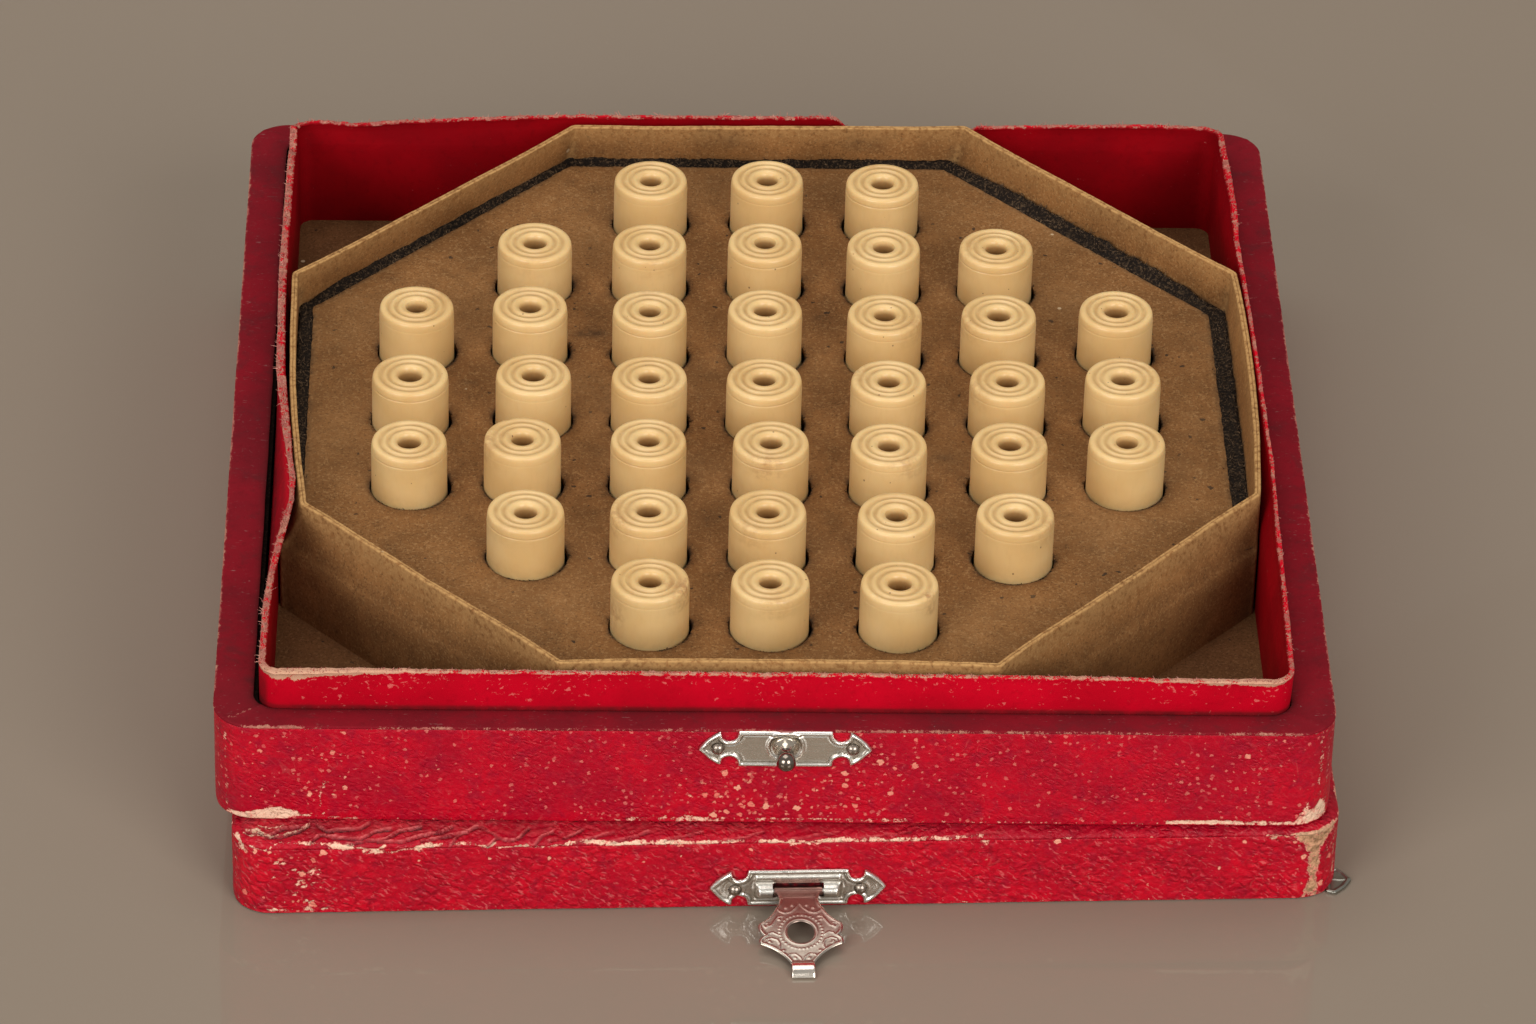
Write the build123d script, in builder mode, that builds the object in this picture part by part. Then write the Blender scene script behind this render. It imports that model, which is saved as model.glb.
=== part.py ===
from build123d import *
import os
from math import asin, atan2, cos, degrees, radians, sin

# Travelling peg solitaire in a leather covered case, as it stands on a table:
# the detached lid lies flat on the table, rim down, and the open tray stands
# on the lid's padded top. Millimetres, +Z up. The origin is on the table, in
# the middle of the whole footprint. -Y is the front, where the catch is.

os.makedirs("parts", exist_ok=True)

# ---------------------------------------------------------------- dimensions
# case plan
CASE_W = 156.0            # tray, outside, square
LID_W = 155.5             # lid, outside
LID_RACK = 0.020          # the old lid is out of square: going back, it shifts right this much per mm
CORNER_R = 5.7            # upright outer corners
SKIN = 0.8                # leather on the walls

# where the two halves stand
TRAY_X, TRAY_Y = -1.97, 9.20       # middle of the tray
LID_DX, LID_DY = -0.57, -2.53      # middle of the lid, from the tray's middle
LID_TURN = 1.96                    # the lid is turned a little under the tray
LID_X, LID_Y = TRAY_X + LID_DX, TRAY_Y + LID_DY

# lid, from the table up
LID_FRAME_H = 9.2         # wooden wall frame
LID_PANEL_T = 2.0         # top board
LID_SHOULDER = LID_FRAME_H + LID_PANEL_T
PAD_T = 1.3               # wadding
PAD_SKIN = 0.5            # leather over the wadding
LID_TOP = LID_SHOULDER + PAD_T + PAD_SKIN      # 13.0
LID_OPEN_X, LID_OPEN_Y = 145.0, 149.0          # inside the wall frame
LINING_T = 0.4
LINING_LIFT = 0.5         # the lining ends above the rim
SKIN_LIFT = 0.15          # the leather ends above the rim

# tray, from the lid's top up
TRAY_Z = LID_TOP
TRAY_SKIN_T = 0.5         # leather under the tray
TRAY_PANEL_T = 1.5        # bottom board
RIM_Z = 29.3              # top of the rim
RIM_PAPER_T = 0.4
TRAY_OPEN_X, TRAY_OPEN_Y = 143.8, 147.4        # inside the wall frame
PANEL_TOP = TRAY_Z + TRAY_SKIN_T + TRAY_PANEL_T
FLOOR_T = 0.3
FLOOR_TOP = PANEL_TOP + FLOOR_T                # 15.3

# red card liner that stands proud of the rim and locates the lid
LINER_X, LINER_Y = 143.4, 147.0
LINER_T = 1.1
LINER_R = 3.2
LINER_TOP = 35.6

# folded eight-sided card collar
COLLAR_HX, COLLAR_HY = 70.3, 72.1              # half widths outside
COLLAR_FX, COLLAR_FY = 30.2, 30.2              # half lengths of the four facets
COLLAR_T = 0.9
COLLAR_TOP = 36.0

# board
BLOCK_GAP = 0.2           # block to collar
BOARD_STEP = 2.2          # the board ends inside the block's black edge
BLOCK_TOP = 27.0
BOARD_TOP = 28.0
HOLE_D = 12.6
HOLE_FLOOR = 19.8

# pegs
PITCH = 17.4
PEG_R = 5.65
PEG_TOP = 36.1
PEG_BORE_R = 1.7
PEG_BORE_DEPTH = 8.0

# metal catch
PLATE_T = 0.5
KNOB_PLATE_DX, KNOB_PLATE_Z = 1.3, 26.2        # from the tray's middle, height
KNOB_Z = 26.7
BALL_R, BALL_OUT = 1.4, 3.3                    # the knob's ball, centre out from the plate
HASP_DX, HASP_PLATE_Z = 1.45, 3.7              # from the lid's middle, height
PIVOT_Z = 3.5
PIVOT_OUT = 0.75          # pivot axis, out from the leather
BARREL_R, PIN_R, PIN_PLAY = 0.65, 0.40, 0.05
LEAF_W0, LEAF_W1 = 0.30, 0.65                  # the leaf, from the axis plane
CURL_V, CURL_W = 15.6, 0.12                    # lowest corner of the thumb curl
TABLE_GAP = 0.02
# the leaf leans down until its thumb curl meets the table
LEAF_DOWN = degrees(asin((PIVOT_Z + CURL_W * 0.973 - TABLE_GAP) / CURL_V))

# pegs: column letter, row number, and how far each stands off the even grid
PEG_OFF = {
    "c1": (0.0, 0.5), "d1": (-0.5, 0.5), "e1": (0.3, 0.3),
    "b2": (-0.2, -0.2), "c2": (-0.1, 0.3), "d2": (-0.5, 0.3), "e2": (0.4, -0.4), "f2": (0.0, -0.2),
    "a3": (0.3, -0.3), "b3": (-0.8, 0.4), "c3": (0.0, 0.4), "d3": (0.3, 0.2), "e3": (-0.1, -0.3),
    "f3": (0.0, 0.4), "g3": (-0.4, 0.9),
    "a4": (0.1, -0.7), "b4": (0.7, -0.4), "c4": (0.2, -0.7), "d4": (-0.4, -0.9), "e4": (0.4, -1.1),
    "f4": (0.4, -0.9), "g4": (0.0, 0.1),
    "a5": (0.7, -0.1), "b5": (0.1, 0.4), "c5": (0.4, -0.6), "d5": (0.1, -0.1), "e5": (0.4, -1.1),
    "f5": (-0.1, -0.8), "g5": (0.0, 0.5),
    "b6": (0.7, 0.4), "c6": (0.5, 0.2), "d6": (0.4, 0.7), "e6": (0.8, -0.1), "f6": (0.3, -0.1),
    "c7": (0.8, 0.6), "d7": (1.1, 0.9), "e7": (1.2, 0.4),
}
# how far each hand-drilled hole lies off its peg
HOLE_OFF = {
    "c1": (0.15, -0.05), "d1": (0.25, 0.0), "e1": (0.0, 0.05),
    "b2": (0.25, 0.05), "c2": (0.1, 0.0), "d2": (0.2, -0.1), "e2": (-0.2, 0.1), "f2": (-0.2, 0.05),
    "a3": (0.3, -0.05), "b3": (0.3, -0.1), "c3": (0.05, 0.1), "d3": (0.15, 0.0), "e3": (0.1, 0.1),
    "f3": (-0.25, -0.05), "g3": (0.05, -0.1),
    "a4": (0.3, 0.0), "b4": (-0.1, 0.1), "c4": (0.1, 0.1), "d4": (0.3, 0.05), "e4": (0.2, 0.15),
    "f4": (0.15, 0.1), "g4": (0.2, -0.05),
    "a5": (0.2, 0.0), "b5": (0.25, -0.1), "c5": (0.1, 0.1), "d5": (0.25, 0.0), "e5": (0.1, 0.2),
    "f5": (0.2, 0.1), "g5": (0.1, -0.1),
    "b6": (-0.15, -0.05), "c6": (0.1, 0.0), "d6": (0.2, -0.15), "e6": (0.05, 0.1), "f6": (0.25, 0.0),
    "c7": (0.1, -0.1), "d7": (0.05, -0.2), "e7": (-0.2, -0.05),
}


def peg_xy(name):
    col, row = "abcdefg".index(name[0]) - 3, int(name[1]) - 4
    dx, dy = PEG_OFF[name]
    return (TRAY_X + col * PITCH + dx, TRAY_Y + row * PITCH + dy)


def hole_xy(name):
    px, py = peg_xy(name)
    hx, hy = HOLE_OFF[name]
    return (px + hx, py + hy)


def racked(w, d, r):
    """Rounded outline of the lid or of its inside, out of square about the front edge."""
    corners = [(-w / 2, -d / 2), (w / 2, -d / 2), (w / 2, d / 2), (-w / 2, d / 2)]
    with BuildSketch() as outline:
        with BuildLine():
            Polyline(*[(x + LID_RACK * (y + LID_W / 2), y) for x, y in corners], close=True)
        make_face()
        fillet(outline.vertices(), r)
    return outline.sketch


def dome(r, h):
    """Half section of a domed head: radius r at the foot, height h, a true sphere cap."""
    c = (r * r - h * h) / (2 * h)
    big = h + c
    half = atan2(r, c) / 2
    return (r, 0), (big * sin(half), c - big * cos(half)), (0, -h)


# --------------------------------------------------------------- work planes
tc, ts = cos(radians(LID_TURN)), sin(radians(LID_TURN))
tray_plan = Plane(origin=(TRAY_X, TRAY_Y, 0))
lid_plan = Plane(origin=(LID_X, LID_Y, 0), x_dir=(tc, ts, 0), z_dir=(0, 0, 1))
# front faces, looking at the leather, sketch x to the right and y up
tray_front = Plane(origin=(TRAY_X, TRAY_Y - CASE_W / 2, 0), x_dir=(1, 0, 0), z_dir=(0, -1, 0))
lid_front = Plane(
    origin=(LID_X + ts * LID_W / 2, LID_Y - tc * LID_W / 2, 0),
    x_dir=(tc, ts, 0), z_dir=(ts, -tc, 0))
pivot = lid_front.from_local_coords(Vector(HASP_DX, PIVOT_Z, PIVOT_OUT))
hasp_plate_plane = Plane(
    origin=lid_front.from_local_coords(Vector(HASP_DX, HASP_PLATE_Z, 0)),
    x_dir=(tc, ts, 0), z_dir=(ts, -tc, 0))
knob_plate_plane = Plane(
    origin=tray_front.from_local_coords(Vector(KNOB_PLATE_DX, KNOB_PLATE_Z, 0)),
    x_dir=(1, 0, 0), z_dir=(0, -1, 0))
lid_x = Vector(tc, ts, 0)
lid_out = Vector(ts, -tc, 0)
dc, ds = cos(radians(LEAF_DOWN)), sin(radians(LEAF_DOWN))
leaf_dir = Vector(ts * dc, -tc * dc, -ds)          # from the pivot to the tip
leaf_nrm = Vector(ts * ds, -tc * ds, dc)           # the embossed face
leaf_plane = Plane(origin=pivot, x_dir=lid_x, z_dir=leaf_nrm)
leaf_side = Plane(origin=pivot, x_dir=leaf_dir, z_dir=-lid_x)
pin_plane = Plane(origin=pivot, x_dir=lid_out, z_dir=lid_x)

# small pressed arrow tip, flat in the rim at the lid's right front corner
TAB = [(80.05, -73.75), (79.2, -72.2), (78.2, -71.2), (77.2, -71.4), (76.7, -72.6), (73.9, -72.6),
       (73.9, -74.8), (76.3, -74.9), (76.2, -76.4), (77.4, -76.9), (78.9, -75.6)]
TAB_Z0, TAB_Z1 = 0.2, 0.65


# ----------------------------------------------------------------------- lid
lid_outside = racked(LID_W, LID_W, CORNER_R)
lid_wood = racked(LID_W - 2 * SKIN, LID_W - 2 * SKIN, CORNER_R - SKIN)
lid_inside = racked(LID_OPEN_X, LID_OPEN_Y, 1.0)
lining_inside = racked(LID_OPEN_X - 2 * LINING_T, LID_OPEN_Y - 2 * LINING_T, 0.6)
pad_foot = racked(LID_W - 2.2, LID_W - 2.2, CORNER_R - 1.1)
pad_crown = racked(LID_W - 8.0, LID_W - 8.0, CORNER_R - 2.0)
pad_skin_foot = racked(LID_W - 0.4, LID_W - 0.4, CORNER_R - 0.2)
pad_skin_crown = racked(LID_W - 6.6, LID_W - 6.6, CORNER_R - 1.4)

with BuildPart() as lid_wall_frame:
    with BuildSketch(lid_plan):
        add(lid_wood)
        add(lid_inside, mode=Mode.SUBTRACT)
    extrude(amount=LID_FRAME_H)
    # slot for the side tab
    with BuildSketch(lid_plan.offset(TAB_Z0)):
        with BuildLine():
            Polyline(*TAB, close=True)
        make_face()
    extrude(amount=TAB_Z1 - TAB_Z0, mode=Mode.SUBTRACT)
    # nail holes of the hasp plate
    with BuildSketch(lid_front):
        with Locations((HASP_DX - 8.8, 3.3), (HASP_DX + 8.8, 3.3)):
            Circle(0.4)
    extrude(amount=-3.0, mode=Mode.SUBTRACT)
lid_wall_frame.part.label = "lid_wall_frame"
export_step(lid_wall_frame.part, "parts/lid_wall_frame.step")

with BuildPart() as lid_top_panel:
    with BuildSketch(lid_plan.offset(LID_FRAME_H)):
        add(lid_wood)
    extrude(amount=LID_PANEL_T)
lid_top_panel.part.label = "lid_top_panel"
export_step(lid_top_panel.part, "parts/lid_top_panel.step")

with BuildPart() as lid_leather_cover:
    with BuildSketch(lid_plan.offset(SKIN_LIFT)):
        add(lid_outside)
        add(lid_wood, mode=Mode.SUBTRACT)
    extrude(amount=LID_SHOULDER - SKIN_LIFT)
    with BuildSketch(lid_plan.offset(TAB_Z0)):
        with BuildLine():
            Polyline(*TAB, close=True)
        make_face()
    extrude(amount=TAB_Z1 - TAB_Z0, mode=Mode.SUBTRACT)
    with BuildSketch(lid_front):
        with Locations((HASP_DX - 8.8, 3.3), (HASP_DX + 8.8, 3.3)):
            Circle(0.4)
    extrude(amount=-SKIN * 2, mode=Mode.SUBTRACT)
lid_leather_cover.part.label = "lid_leather_cover"
export_step(lid_leather_cover.part, "parts/lid_leather_cover.step")

# crowned wadding: wide at the shoulder, narrower where the tray rests on it
with BuildPart() as lid_padding:
    with BuildSketch(lid_plan.offset(LID_SHOULDER)):
        add(pad_foot)
    with BuildSketch(lid_plan.offset(LID_SHOULDER + PAD_T)):
        add(pad_crown)
    loft()
lid_padding.part.label = "lid_padding"
export_step(lid_padding.part, "parts/lid_padding.step")

with BuildPart() as lid_top_leather:
    with BuildSketch(lid_plan.offset(LID_SHOULDER)):
        add(pad_skin_foot)
    with BuildSketch(lid_plan.offset(LID_TOP)):
        add(pad_skin_crown)
    loft()
    with BuildSketch(lid_plan.offset(LID_SHOULDER)):
        add(pad_foot)
    with BuildSketch(lid_plan.offset(LID_SHOULDER + PAD_T)):
        add(pad_crown)
    loft(mode=Mode.SUBTRACT)
lid_top_leather.part.label = "lid_top_leather"
export_step(lid_top_leather.part, "parts/lid_top_leather.step")

with BuildPart() as lid_lining:
    with BuildSketch(lid_plan.offset(LINING_LIFT)):
        add(lid_inside)
    extrude(amount=LID_FRAME_H - LINING_LIFT)
    with BuildSketch(lid_plan.offset(LINING_LIFT)):
        add(lining_inside)
    extrude(amount=LID_FRAME_H - LINING_LIFT - LINING_T, mode=Mode.SUBTRACT)
lid_lining.part.label = "lid_lining"
export_step(lid_lining.part, "parts/lid_lining.step")

with BuildPart() as side_tab:
    with BuildSketch(lid_plan.offset(TAB_Z0)):
        with BuildLine():
            Polyline(*TAB, close=True)
        make_face()
    extrude(amount=TAB_Z1 - TAB_Z0)
side_tab.part.label = "side_tab"
export_step(side_tab.part, "parts/side_tab.step")

# ---------------------------------------------------------------- hasp plate
# a pressed plate with an arrow-shaped end each side and a window in which
# the leaf's rolled barrel turns
with BuildPart() as hasp_plate:
    with BuildSketch(hasp_plate_plane):
        with BuildLine():
            Polyline((0, 3.05), (7.0, 3.05), (7.2, 2.1))
            ThreePointArc((7.2, 2.1), (8.1, 1.35), (9.1, 1.8))
            Line((9.1, 1.8), (9.35, 2.95))
            ThreePointArc((9.35, 2.95), (11.0, 1.8), (12.4, 0))
            Line((12.4, 0), (0, 0))
            Line((0, 0), (0, 3.05))
        make_face()
        mirror(about=Plane.XZ)
        mirror(about=Plane.YZ)
    extrude(amount=PLATE_T)
    # bosses that hold the pin's ends
    with BuildSketch(pin_plane.offset(-5.7)):
        Circle(0.95)
    extrude(amount=11.4)
    with BuildSketch(lid_front):
        with Locations((HASP_DX, PIVOT_Z)):
            Rectangle(14.0, 3.0)
    extrude(amount=-2.0, mode=Mode.SUBTRACT)
    # window
    with BuildSketch(lid_front.offset(-0.5)):
        with Locations((HASP_DX, 3.45)):
            Rectangle(7.2, 2.5)
    extrude(amount=3.0, mode=Mode.SUBTRACT)
    # seats of the pin and the nail holes
    with BuildSketch(pin_plane.offset(-5.2)):
        Circle(PIN_R)
    extrude(amount=10.4, mode=Mode.SUBTRACT)
    with BuildSketch(lid_front.offset(-0.5)):
        with Locations((HASP_DX - 8.8, 3.3), (HASP_DX + 8.8, 3.3)):
            Circle(0.4)
    extrude(amount=2.0, mode=Mode.SUBTRACT)
hasp_plate.part.label = "hasp_plate"
export_step(hasp_plate.part, "parts/hasp_plate.step")

with BuildPart() as hasp_plate_pins:
    for px in (HASP_DX - 8.8, HASP_DX + 8.8):
        with BuildSketch(lid_front.offset(PLATE_T)):
            with Locations((px, 3.3)):
                Circle(0.4)
        extrude(amount=-3.4)
        with BuildSketch(Plane(
                origin=lid_front.from_local_coords(Vector(px, 3.3, PLATE_T)),
                x_dir=(tc, ts, 0), z_dir=(0, 0, 1))):
            with BuildLine():
                Line((0, 0), (0.75, 0))
                ThreePointArc(*dome(0.75, 0.55))
                Line((0, -0.55), (0, 0))
            make_face()
        revolve(axis=Axis(lid_front.from_local_coords(Vector(px, 3.3, PLATE_T)), lid_out))
hasp_plate_pins.part.label = "hasp_plate_pins"
export_step(hasp_plate_pins.part, "parts/hasp_plate_pins.step")

with BuildPart() as hasp_pin:
    with BuildSketch(pin_plane.offset(-5.2)):
        Circle(PIN_R)
    extrude(amount=10.4)
hasp_pin.part.label = "hasp_pin"
export_step(hasp_pin.part, "parts/hasp_pin.step")

# ----------------------------------------------------------------- hasp leaf
# sketch x across the leaf, sketch -y towards the tip
with BuildPart() as hasp_leaf:
    with BuildSketch(leaf_plane.offset(LEAF_W0)):
        with BuildLine():
            Line((0, -0.45), (3.3, -0.45))
            ThreePointArc((3.3, -0.45), (2.75, -2.0), (3.3, -3.3))
            ThreePointArc((3.3, -3.3), (4.3, -4.9), (5.8, -6.1))
            ThreePointArc((5.8, -6.1), (5.85, -7.2), (5.25, -8.3))
            ThreePointArc((5.25, -8.3), (5.85, -9.0), (5.7, -9.8))
            ThreePointArc((5.7, -9.8), (3.2, -11.3), (1.6, -13.3))
            Line((1.6, -13.3), (0, -13.3))
            Line((0, -13.3), (0, -0.45))
        make_face()
        mirror(about=Plane.YZ)
        with Locations((0, -7.7)):
            Circle(1.9, mode=Mode.SUBTRACT)
    extrude(amount=LEAF_W1 - LEAF_W0)
    with BuildSketch(pin_plane.offset(-3.4)):
        Circle(BARREL_R)
    extrude(amount=6.8)
    # thumb curl
    with BuildSketch(leaf_side.offset(-1.6)):
        with BuildLine():
            ThreePointArc((13.2, LEAF_W1), (14.5, 1.2), (15.8, 0.45))
            Line((15.8, 0.45), (CURL_V, CURL_W))
            ThreePointArc((CURL_V, CURL_W), (14.45, 0.84), (13.2, LEAF_W0))
            Line((13.2, LEAF_W0), (13.2, LEAF_W1))
        make_face()
    extrude(amount=3.2)
    with BuildSketch(pin_plane.offset(-6)):
        Circle(PIN_R + PIN_PLAY)
    extrude(amount=12, mode=Mode.SUBTRACT)
hasp_leaf.part.label = "hasp_leaf"
export_step(hasp_leaf.part, "parts/hasp_leaf.step")

# ---------------------------------------------------------------------- tray
with BuildPart() as tray_bottom_panel:
    with BuildSketch(tray_plan.offset(TRAY_Z + TRAY_SKIN_T)):
        RectangleRounded(CASE_W - 2 * SKIN, CASE_W - 2 * SKIN, CORNER_R - SKIN)
    extrude(amount=TRAY_PANEL_T)
tray_bottom_panel.part.label = "tray_bottom_panel"
export_step(tray_bottom_panel.part, "parts/tray_bottom_panel.step")

with BuildPart() as tray_wall_frame:
    with BuildSketch(tray_plan.offset(PANEL_TOP)):
        RectangleRounded(CASE_W - 2 * SKIN, CASE_W - 2 * SKIN, CORNER_R - SKIN)
        RectangleRounded(TRAY_OPEN_X, TRAY_OPEN_Y, 3.4, mode=Mode.SUBTRACT)
    extrude(amount=RIM_Z - RIM_PAPER_T - PANEL_TOP)
    with BuildSketch(tray_front):
        with Locations((KNOB_PLATE_DX - 9.35, KNOB_PLATE_Z), (KNOB_PLATE_DX + 9.35, KNOB_PLATE_Z)):
            Circle(0.4)
        with Locations((KNOB_PLATE_DX, KNOB_Z)):
            Circle(0.8)
    extrude(amount=-3.2, mode=Mode.SUBTRACT)
tray_wall_frame.part.label = "tray_wall_frame"
export_step(tray_wall_frame.part, "parts/tray_wall_frame.step")

with BuildPart() as tray_leather_cover:
    with BuildSketch(tray_plan.offset(TRAY_Z)):
        RectangleRounded(CASE_W, CASE_W, CORNER_R)
    extrude(amount=RIM_Z - RIM_PAPER_T - TRAY_Z)
    fillet(tray_leather_cover.faces().sort_by(Axis.Z)[0].edges(), radius=0.45)
    with BuildSketch(tray_plan.offset(TRAY_Z + TRAY_SKIN_T)):
        RectangleRounded(CASE_W - 2 * SKIN, CASE_W - 2 * SKIN, CORNER_R - SKIN)
    extrude(amount=RIM_Z, mode=Mode.SUBTRACT)
    with BuildSketch(tray_front):
        with Locations((KNOB_PLATE_DX - 9.35, KNOB_PLATE_Z), (KNOB_PLATE_DX + 9.35, KNOB_PLATE_Z)):
            Circle(0.4)
        with Locations((KNOB_PLATE_DX, KNOB_Z)):
            Circle(0.8)
    extrude(amount=-SKIN * 2, mode=Mode.SUBTRACT)
tray_leather_cover.part.label = "tray_leather_cover"
export_step(tray_leather_cover.part, "parts/tray_leather_cover.step")

with BuildPart() as rim_paper:
    with BuildSketch(tray_plan.offset(RIM_Z - RIM_PAPER_T)):
        RectangleRounded(CASE_W, CASE_W, CORNER_R)
        RectangleRounded(TRAY_OPEN_X, TRAY_OPEN_Y, 3.4, mode=Mode.SUBTRACT)
    extrude(amount=RIM_PAPER_T)
rim_paper.part.label = "rim_paper"
export_step(rim_paper.part, "parts/rim_paper.step")

with BuildPart() as floor_card:
    with BuildSketch(tray_plan.offset(PANEL_TOP)):
        RectangleRounded(TRAY_OPEN_X - 0.3, TRAY_OPEN_Y - 0.3, 3.2)
    extrude(amount=FLOOR_T)
floor_card.part.label = "floor_card"
export_step(floor_card.part, "parts/floor_card.step")

with BuildPart() as liner:
    with BuildSketch(tray_plan.offset(FLOOR_TOP)):
        RectangleRounded(LINER_X, LINER_Y, LINER_R)
        RectangleRounded(LINER_X - 2 * LINER_T, LINER_Y - 2 * LINER_T, LINER_R - LINER_T, mode=Mode.SUBTRACT)
    extrude(amount=LINER_TOP - FLOOR_TOP)
liner.part.label = "liner"
export_step(liner.part, "parts/liner.step")

OCTAGON = [
    (COLLAR_FX, COLLAR_HY), (COLLAR_HX, COLLAR_FY), (COLLAR_HX, -COLLAR_FY), (COLLAR_FX, -COLLAR_HY),
    (-COLLAR_FX, -COLLAR_HY), (-COLLAR_HX, -COLLAR_FY), (-COLLAR_HX, COLLAR_FY), (-COLLAR_FX, COLLAR_HY)]

with BuildPart() as collar:
    with BuildSketch(tray_plan.offset(FLOOR_TOP)):
        with BuildLine():
            Polyline(*OCTAGON, close=True)
        make_face()
    extrude(amount=COLLAR_TOP - FLOOR_TOP)
    with BuildSketch(tray_plan.offset(FLOOR_TOP)):
        with BuildLine():
            Polyline(*OCTAGON, close=True)
        make_face()
        offset(amount=-COLLAR_T, mode=Mode.REPLACE)
    extrude(amount=COLLAR_TOP - FLOOR_TOP, mode=Mode.SUBTRACT)
collar.part.label = "collar"
export_step(collar.part, "parts/collar.step")

# thick drilled block under the board; its black edge shows round the board
with BuildPart() as peg_block:
    with BuildSketch(tray_plan.offset(FLOOR_TOP)):
        with BuildLine():
            Polyline(*OCTAGON, close=True)
        make_face()
        offset(amount=-COLLAR_T - BLOCK_GAP, mode=Mode.REPLACE)
    extrude(amount=BLOCK_TOP - FLOOR_TOP)
    with BuildSketch(Plane.XY.offset(HOLE_FLOOR)):
        with Locations(*[hole_xy(n) for n in PEG_OFF]):
            Circle(HOLE_D / 2)
    extrude(amount=BLOCK_TOP - HOLE_FLOOR, mode=Mode.SUBTRACT)
peg_block.part.label = "peg_block"
export_step(peg_block.part, "parts/peg_block.step")

with BuildPart() as peg_board:
    with BuildSketch(tray_plan.offset(BLOCK_TOP)):
        with BuildLine():
            Polyline(*OCTAGON, close=True)
        make_face()
        offset(amount=-COLLAR_T - BLOCK_GAP - BOARD_STEP, mode=Mode.REPLACE)
    extrude(amount=BOARD_TOP - BLOCK_TOP)
    with BuildSketch(Plane.XY.offset(BLOCK_TOP)):
        with Locations(*[hole_xy(n) for n in PEG_OFF]):
            Circle(HOLE_D / 2)
    extrude(amount=BOARD_TOP - BLOCK_TOP, mode=Mode.SUBTRACT)
peg_board.part.label = "peg_board"
export_step(peg_board.part, "parts/peg_board.step")

# ---------------------------------------------------------------- knob plate
with BuildPart() as knob_plate:
    with BuildSketch(knob_plate_plane):
        with BuildLine():
            Polyline((0, 2.95), (6.5, 2.95), (6.7, 2.0))
            ThreePointArc((6.7, 2.0), (7.6, 1.3), (8.7, 1.75))
            Line((8.7, 1.75), (9.0, 2.85))
            ThreePointArc((9.0, 2.85), (10.6, 1.75), (12.05, 0))
            Line((12.05, 0), (0, 0))
            Line((0, 0), (0, 2.95))
        make_face()
        mirror(about=Plane.XZ)
        mirror(about=Plane.YZ)
        with Locations((-9.35, 0), (9.35, 0)):
            Circle(0.4, mode=Mode.SUBTRACT)
        with Locations((0, KNOB_Z - KNOB_PLATE_Z)):
            Circle(0.8, mode=Mode.SUBTRACT)
    extrude(amount=PLATE_T)
knob_plate.part.label = "knob_plate"
export_step(knob_plate.part, "parts/knob_plate.step")

with BuildPart() as knob_plate_pins:
    for px in (KNOB_PLATE_DX - 9.35, KNOB_PLATE_DX + 9.35):
        with BuildSketch(tray_front.offset(PLATE_T)):
            with Locations((px, KNOB_PLATE_Z)):
                Circle(0.4)
        extrude(amount=-3.6)
        with BuildSketch(Plane(
                origin=tray_front.from_local_coords(Vector(px, KNOB_PLATE_Z, PLATE_T)),
                x_dir=(1, 0, 0), z_dir=(0, 0, 1))):
            with BuildLine():
                Line((0, 0), (0.75, 0))
                ThreePointArc(*dome(0.75, 0.55))
                Line((0, -0.55), (0, 0))
            make_face()
        revolve(axis=Axis(tray_front.from_local_coords(Vector(px, KNOB_PLATE_Z, PLATE_T)), Vector(0, -1, 0)))
knob_plate_pins.part.label = "knob_plate_pins"
export_step(knob_plate_pins.part, "parts/knob_plate_pins.step")

# turned stud: shank in the wall, flared foot, waist and ball
ball_from = (BALL_R * sin(radians(125)), -BALL_OUT - BALL_R * cos(radians(125)))
ball_mid = (BALL_R * sin(radians(62.5)), -BALL_OUT - BALL_R * cos(radians(62.5)))
with BuildPart() as knob:
    with BuildSketch(Plane(
            origin=tray_front.from_local_coords(Vector(KNOB_PLATE_DX, KNOB_Z, PLATE_T)),
            x_dir=(1, 0, 0), z_dir=(0, 0, 1))):
        with BuildLine():
            Line((0, 3.6), (0.8, 3.6))
            Line((0.8, 3.6), (0.8, 0))
            Line((0.8, 0), (1.75, 0))
            ThreePointArc((1.75, 0), (1.30, -1.0), ball_from)
            ThreePointArc(ball_from, ball_mid, (0, -BALL_OUT - BALL_R))
            Line((0, -BALL_OUT - BALL_R), (0, 3.6))
        make_face()
    revolve(axis=Axis(tray_front.from_local_coords(Vector(KNOB_PLATE_DX, KNOB_Z, PLATE_T)), Vector(0, -1, 0)))
knob.part.label = "knob"
export_step(knob.part, "parts/knob.step")

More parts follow.
